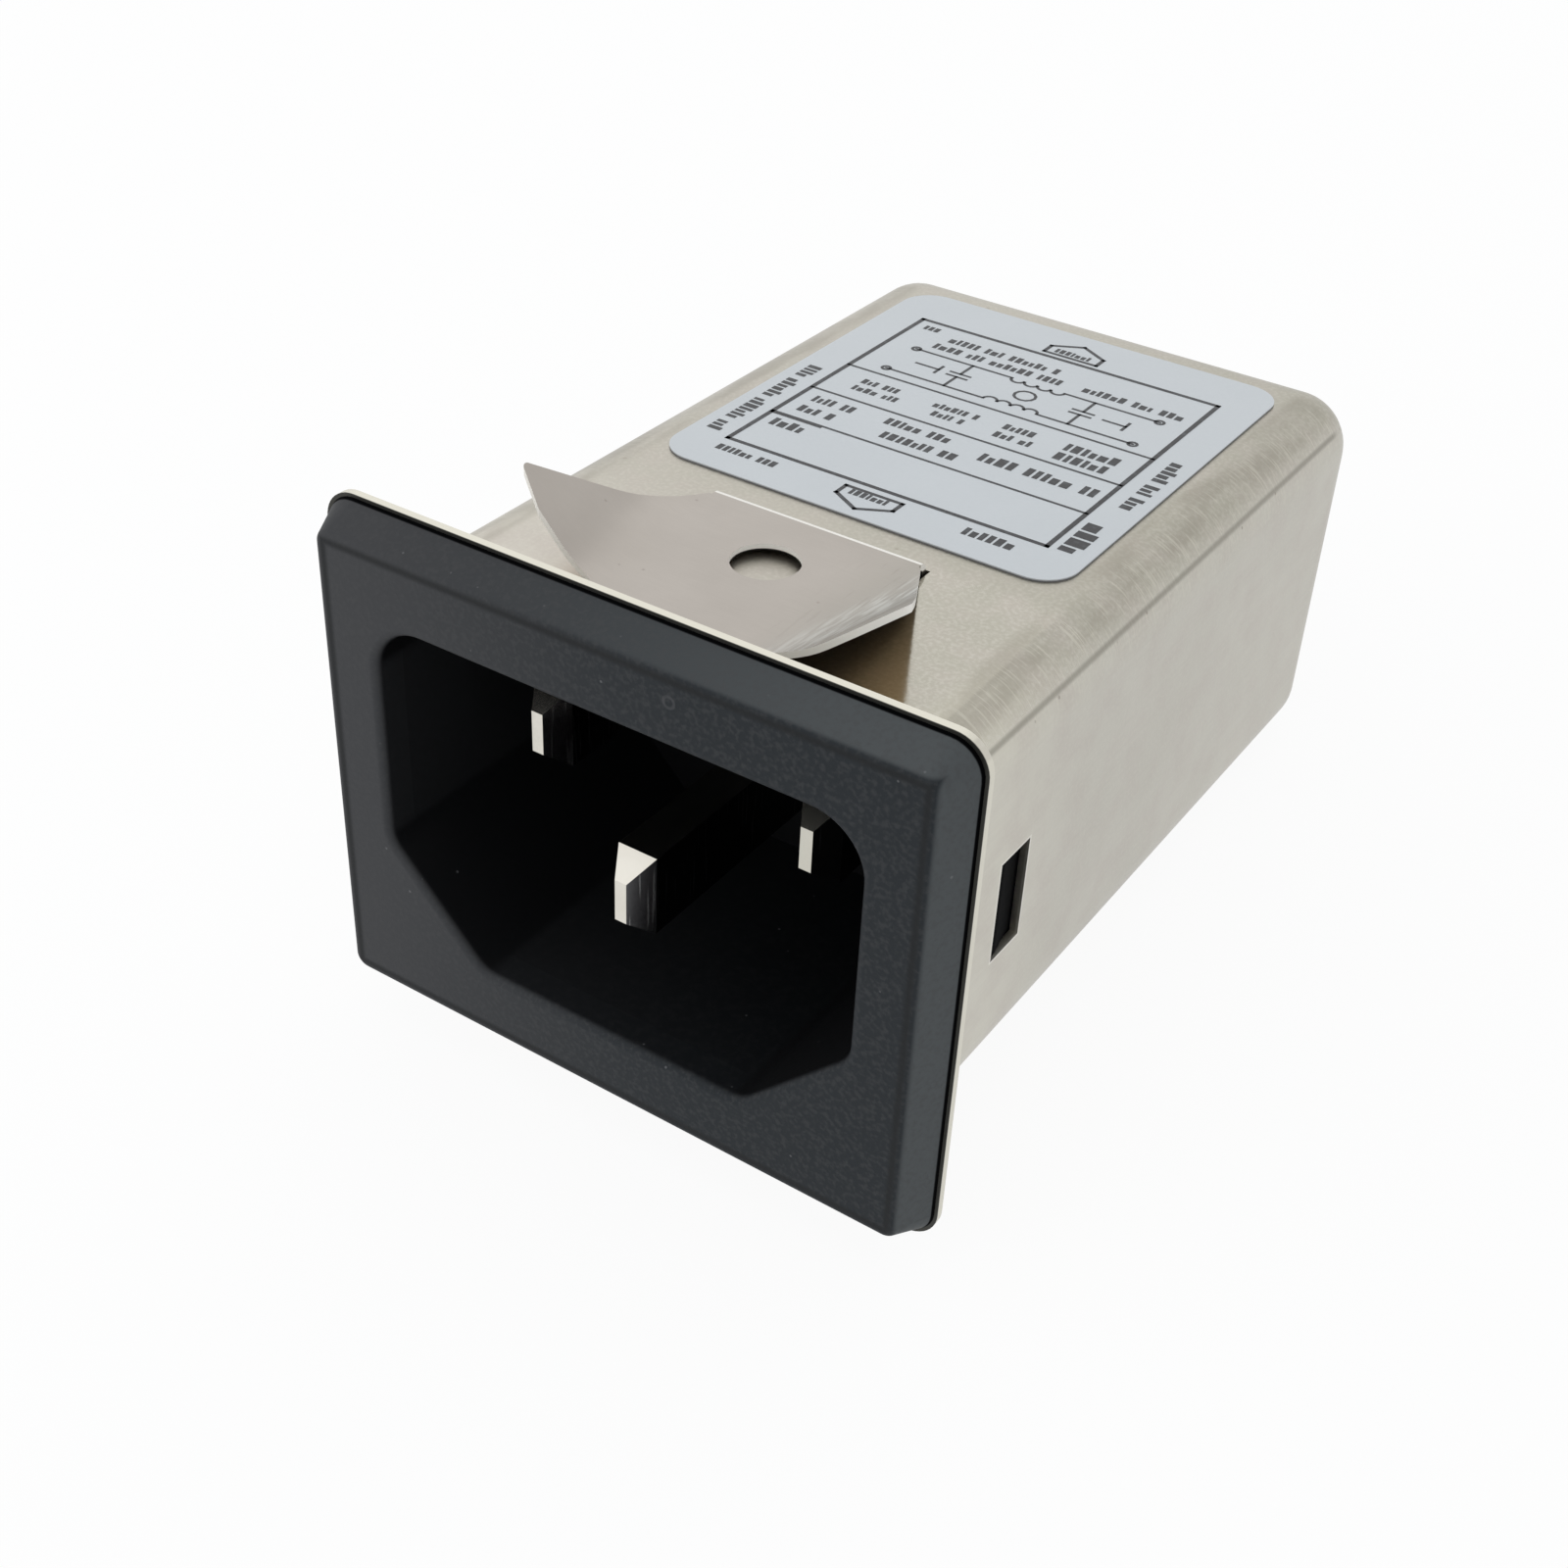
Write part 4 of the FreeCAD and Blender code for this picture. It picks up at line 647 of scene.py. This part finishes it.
class Print:
    """Flat ink shapes gathered into one mesh."""

    def __init__(self):
        self.mesh = bmesh.new()

    def shape(self, points):
        height = (LABEL_TOP + PRINT_LIFT) * MM
        corners = [self.mesh.verts.new((x * MM, y * MM, height)) for x, y in points]
        face = self.mesh.faces.new(corners)
        face.normal_update()
        if face.normal.z < 0:
            face.normal_flip()

    def bar(self, left, front, right, back):
        self.shape([(left, front), (right, front), (right, back), (left, back)])

    def line(self, start, end, width=LINE_WIDTH):
        start, end = Vector(start), Vector(end)
        along = (end - start).normalized() * width / 2
        across = Vector((-along.y, along.x))
        first, last = start - along, end + along
        self.shape([first - across, last - across, last + across, first + across])

    def path(self, points, width=LINE_WIDTH):
        for start, end in zip(points, points[1:]):
            self.line(start, end, width)

    def arc(self, middle, radius, first, last, width=LINE_WIDTH, steps=12):
        turns = [math.radians(first + (last - first) * step / steps) for step in range(steps + 1)]
        rims = [[(middle[0] + reach * math.cos(turn), middle[1] + reach * math.sin(turn)) for turn in turns]
                for reach in (radius - width / 2, radius + width / 2)]
        for step in range(steps):
            self.shape([rims[0][step], rims[1][step], rims[1][step + 1], rims[0][step + 1]])

    def words(self, start, length, height, seed, upright=False, weight=0.5):
        """A row of small blocks that stands for words too small to read."""
        pick = random.Random(seed)
        gap, space = height * 0.17, height * 0.5
        reach = 0.0
        while reach < length - space:
            for _ in range(pick.randint(3, 7)):
                width = height * weight * pick.uniform(0.55, 1.15)
                tall = height * pick.choice((0.74, 1.0, 1.0))
                if reach + width > length:
                    break
                if upright:
                    self.bar(start[0], start[1] + reach, start[0] + tall, start[1] + reach + width)
                else:
                    self.bar(start[0] + reach, start[1], start[0] + reach + width, start[1] + tall)
                reach += width + gap
            reach += space

    def finish(self, name, material):
        mesh = bpy.data.meshes.new(name)
        self.mesh.to_mesh(mesh)
        self.mesh.free()
        mesh.materials.append(material)
        piece = bpy.data.objects.new(name, mesh)
        bpy.context.collection.objects.link(piece)
        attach(piece, "root")


def draw_frame(ink_print):
    side, front, back = FRAME_SIDE, FRAME_FRONT, FRAME_BACK
    corners = [(-side, front), (side, front), (side, back), (-side, back), (-side, front)]
    ink_print.path(corners, FRAME_WIDTH)
    for rule in RULES:
        ink_print.line((-side, rule), (side, rule))
    ink_print.line((-side, SHORT_RULE), (SHORT_RULE_END, SHORT_RULE))


def draw_arrow(ink_print, base, way):
    """A house-shaped pointer with a short word in it."""
    half, tip = ARROW_HALF, base + way * ARROW_DEPTH
    eave = base + way * ARROW_DEPTH * 0.5
    ink_print.path([(-half, base), (half, base), (half, eave), (0, tip), (-half, eave), (-half, base)],
                   ARROW_WIDTH)
    start = (-half * 0.7, min(base, eave) + ARROW_WORD_LIFT)
    ink_print.words(start, half * 1.4, ARROW_WORD_HEIGHT, ARROW_WORD_SEED)


def draw_circuit(ink_print):
    """A plain filter circuit: two lines, two coils, capacitors and a ground."""
    low, middle, high = 29.85, 31.35, 32.85
    left, right = -6.8, 7.0
    coil_left, coil_right, coil_turns = -1.2, 1.8, 4
    end_radius, ring_place, ring_radius = 0.22, 0.35, 0.55
    plate, gap, post = 0.55, 0.2, 0.45
    capacitor_places = (-3.45, 3.5)
    earth_lines = ((-5.9, -4.6), (4.7, 5.9))
    for level, side in ((high, -1), (low, 1)):
        ink_print.line((left, level), (coil_left, level))
        ink_print.line((coil_right, level), (right, level))
        step = (coil_right - coil_left) / coil_turns
        for turn in range(coil_turns):
            centre = (coil_left + step * (turn + 0.5), level)
            ink_print.arc(centre, step / 2, 0, side * 180, steps=8)
        for end in (left, right):
            ink_print.arc((end, level), end_radius, 0, 360)
    ink_print.arc((ring_place, middle), ring_radius, 0, 360)
    for place in capacitor_places:
        ink_print.line((place, low), (place, middle - gap))
        ink_print.line((place - plate, middle - gap), (place + plate, middle - gap))
        ink_print.line((place - plate, middle + gap), (place + plate, middle + gap))
        ink_print.line((place, middle + gap), (place, high))
    for start, end in earth_lines:
        ink_print.line((start, middle), (end, middle))
        ink_print.line((end, middle - post), (end, middle + post))


def make_label_print():
    ink_print = Print()
    draw_frame(ink_print)
    draw_arrow(ink_print, FRONT_ARROW, -1)
    draw_arrow(ink_print, BACK_ARROW, 1)
    draw_circuit(ink_print)
    for start, length, height, seed in WORD_ROWS:
        ink_print.words(start, length, height, seed)
    for start, length, height, seed, weight in UPRIGHT_ROWS:
        ink_print.words(start, length, height, seed, upright=True, weight=weight)
    ink_print.finish("label_print", ink())


def make_camera():
    place, aim = Vector(CAMERA_PLACE) * MM, Vector(CAMERA_AIM) * MM
    forward = (aim - place).normalized()
    right = forward.cross(Vector((0, 0, 1))).normalized()
    up = right.cross(forward)
    turn = Matrix((right, up, -forward)).transposed()
    camera_data = bpy.data.cameras.new("camera")
    camera_data.lens = CAMERA_LENS
    camera_data.sensor_width = SENSOR_WIDTH
    camera_data.clip_start = MM
    camera = bpy.data.objects.new("camera", camera_data)
    roll = Matrix.Rotation(math.radians(CAMERA_ROLL), 3, "Z")
    camera.matrix_world = Matrix.Translation(place) @ (turn @ roll).to_4x4()
    bpy.context.collection.objects.link(camera)
    bpy.context.scene.camera = camera


def white_to_view(nodes, shade, share):
    """Mixes a shader with plain white for what the camera, metal and glass see."""
    rays = ("Is Camera Ray", "Is Glossy Ray", "Is Transmission Ray")
    camera, metal, glass = (nodes.add("ShaderNodeLightPath", output=ray) for ray in rays)
    seen = nodes.math("MAXIMUM", nodes.math("MAXIMUM", camera, metal), glass)
    white = nodes.add("ShaderNodeEmission", {}, {"Color": opaque((1.0, 1.0, 1.0)), "Strength": 1.0})
    return nodes.add("ShaderNodeMixShader", {}, {0: seen * share, 1: shade, 2: white})


def white_paper():
    material = bpy.data.materials.new("white_paper")
    material.use_nodes = True
    nodes = Nodes(material.node_tree)
    paper = nodes.tree.nodes["Principled BSDF"]
    nodes.feed(paper.inputs["Base Color"], opaque(PAPER_TONE))
    nodes.feed(paper.inputs["Roughness"], PAPER_ROUGHNESS)
    shade = white_to_view(nodes, Reading(nodes, paper.outputs[0]), PAPER_WHITE_SHARE)
    nodes.feed(nodes.tree.nodes["Material Output"].inputs["Surface"], shade)
    return material


def make_floor():
    """A white floor under the object's own resting points, so it slopes a little in this frame."""
    clip = frame["nodes"]["clip_bottom"].data
    tip = min((corner.co for corner in clip.vertices), key=lambda place: place.z) / MM
    near, far = tip.yz, Vector(REAR_EDGE_CENTRE)
    run = far - near
    slope = math.atan2(run.y, run.x) - math.asin(REAR_EDGE_RADIUS / run.length)
    rise = math.tan(slope)
    ways = ((-1, -1), (1, -1), (1, 1), (-1, 1))
    flat = [(x * FLOOR_REACH, y * FLOOR_REACH) for x, y in ways]
    corners = [(x * MM, (near.x + y) * MM, (near.y + y * rise) * MM) for x, y in flat]
    mesh = bpy.data.meshes.new("floor")
    mesh.from_pydata(corners, [], [range(len(corners))])
    mesh.materials.append(white_paper())
    sheet = bpy.data.objects.new("floor", mesh)
    bpy.context.collection.objects.link(sheet)


def make_lamp(name, place, aim, side, watts):
    """A square lamp that faces a place."""
    lamp_data = bpy.data.lights.new(name, "AREA")
    lamp_data.size = side * MM
    lamp_data.energy = watts
    lamp = bpy.data.objects.new(name, lamp_data)
    lamp.location = Vector(place) * MM
    lamp.rotation_mode = "QUATERNION"
    lamp.rotation_quaternion = (Vector(aim) - Vector(place)).to_track_quat("-Z", "Y")
    bpy.context.collection.objects.link(lamp)


def make_light():
    """Soft room light all round, a wide lamp above and behind, and a weak one in front."""
    world = bpy.data.worlds.new("studio")
    world.use_nodes = True
    bpy.context.scene.world = world
    nodes = Nodes(world.node_tree)
    room = nodes.tree.nodes["Background"]
    nodes.feed(room.inputs["Color"], opaque(ROOM_TONE))
    nodes.feed(room.inputs["Strength"], ROOM_STRENGTH)
    shade = white_to_view(nodes, Reading(nodes, room.outputs[0]), 1.0)
    nodes.feed(nodes.tree.nodes["World Output"].inputs["Surface"], shade)
    make_lamp("overhead", place=(-110, 130, 160), aim=(0, 20, 0), side=260, watts=0.045)
    make_lamp("front_fill", place=(-110, -110, 60), aim=(0, 0, 0), side=150, watts=0.05)


bpy.context.scene.view_settings.view_transform = "Standard"
finish_nodes()
make_label_print()
make_camera()
make_floor()
make_light()
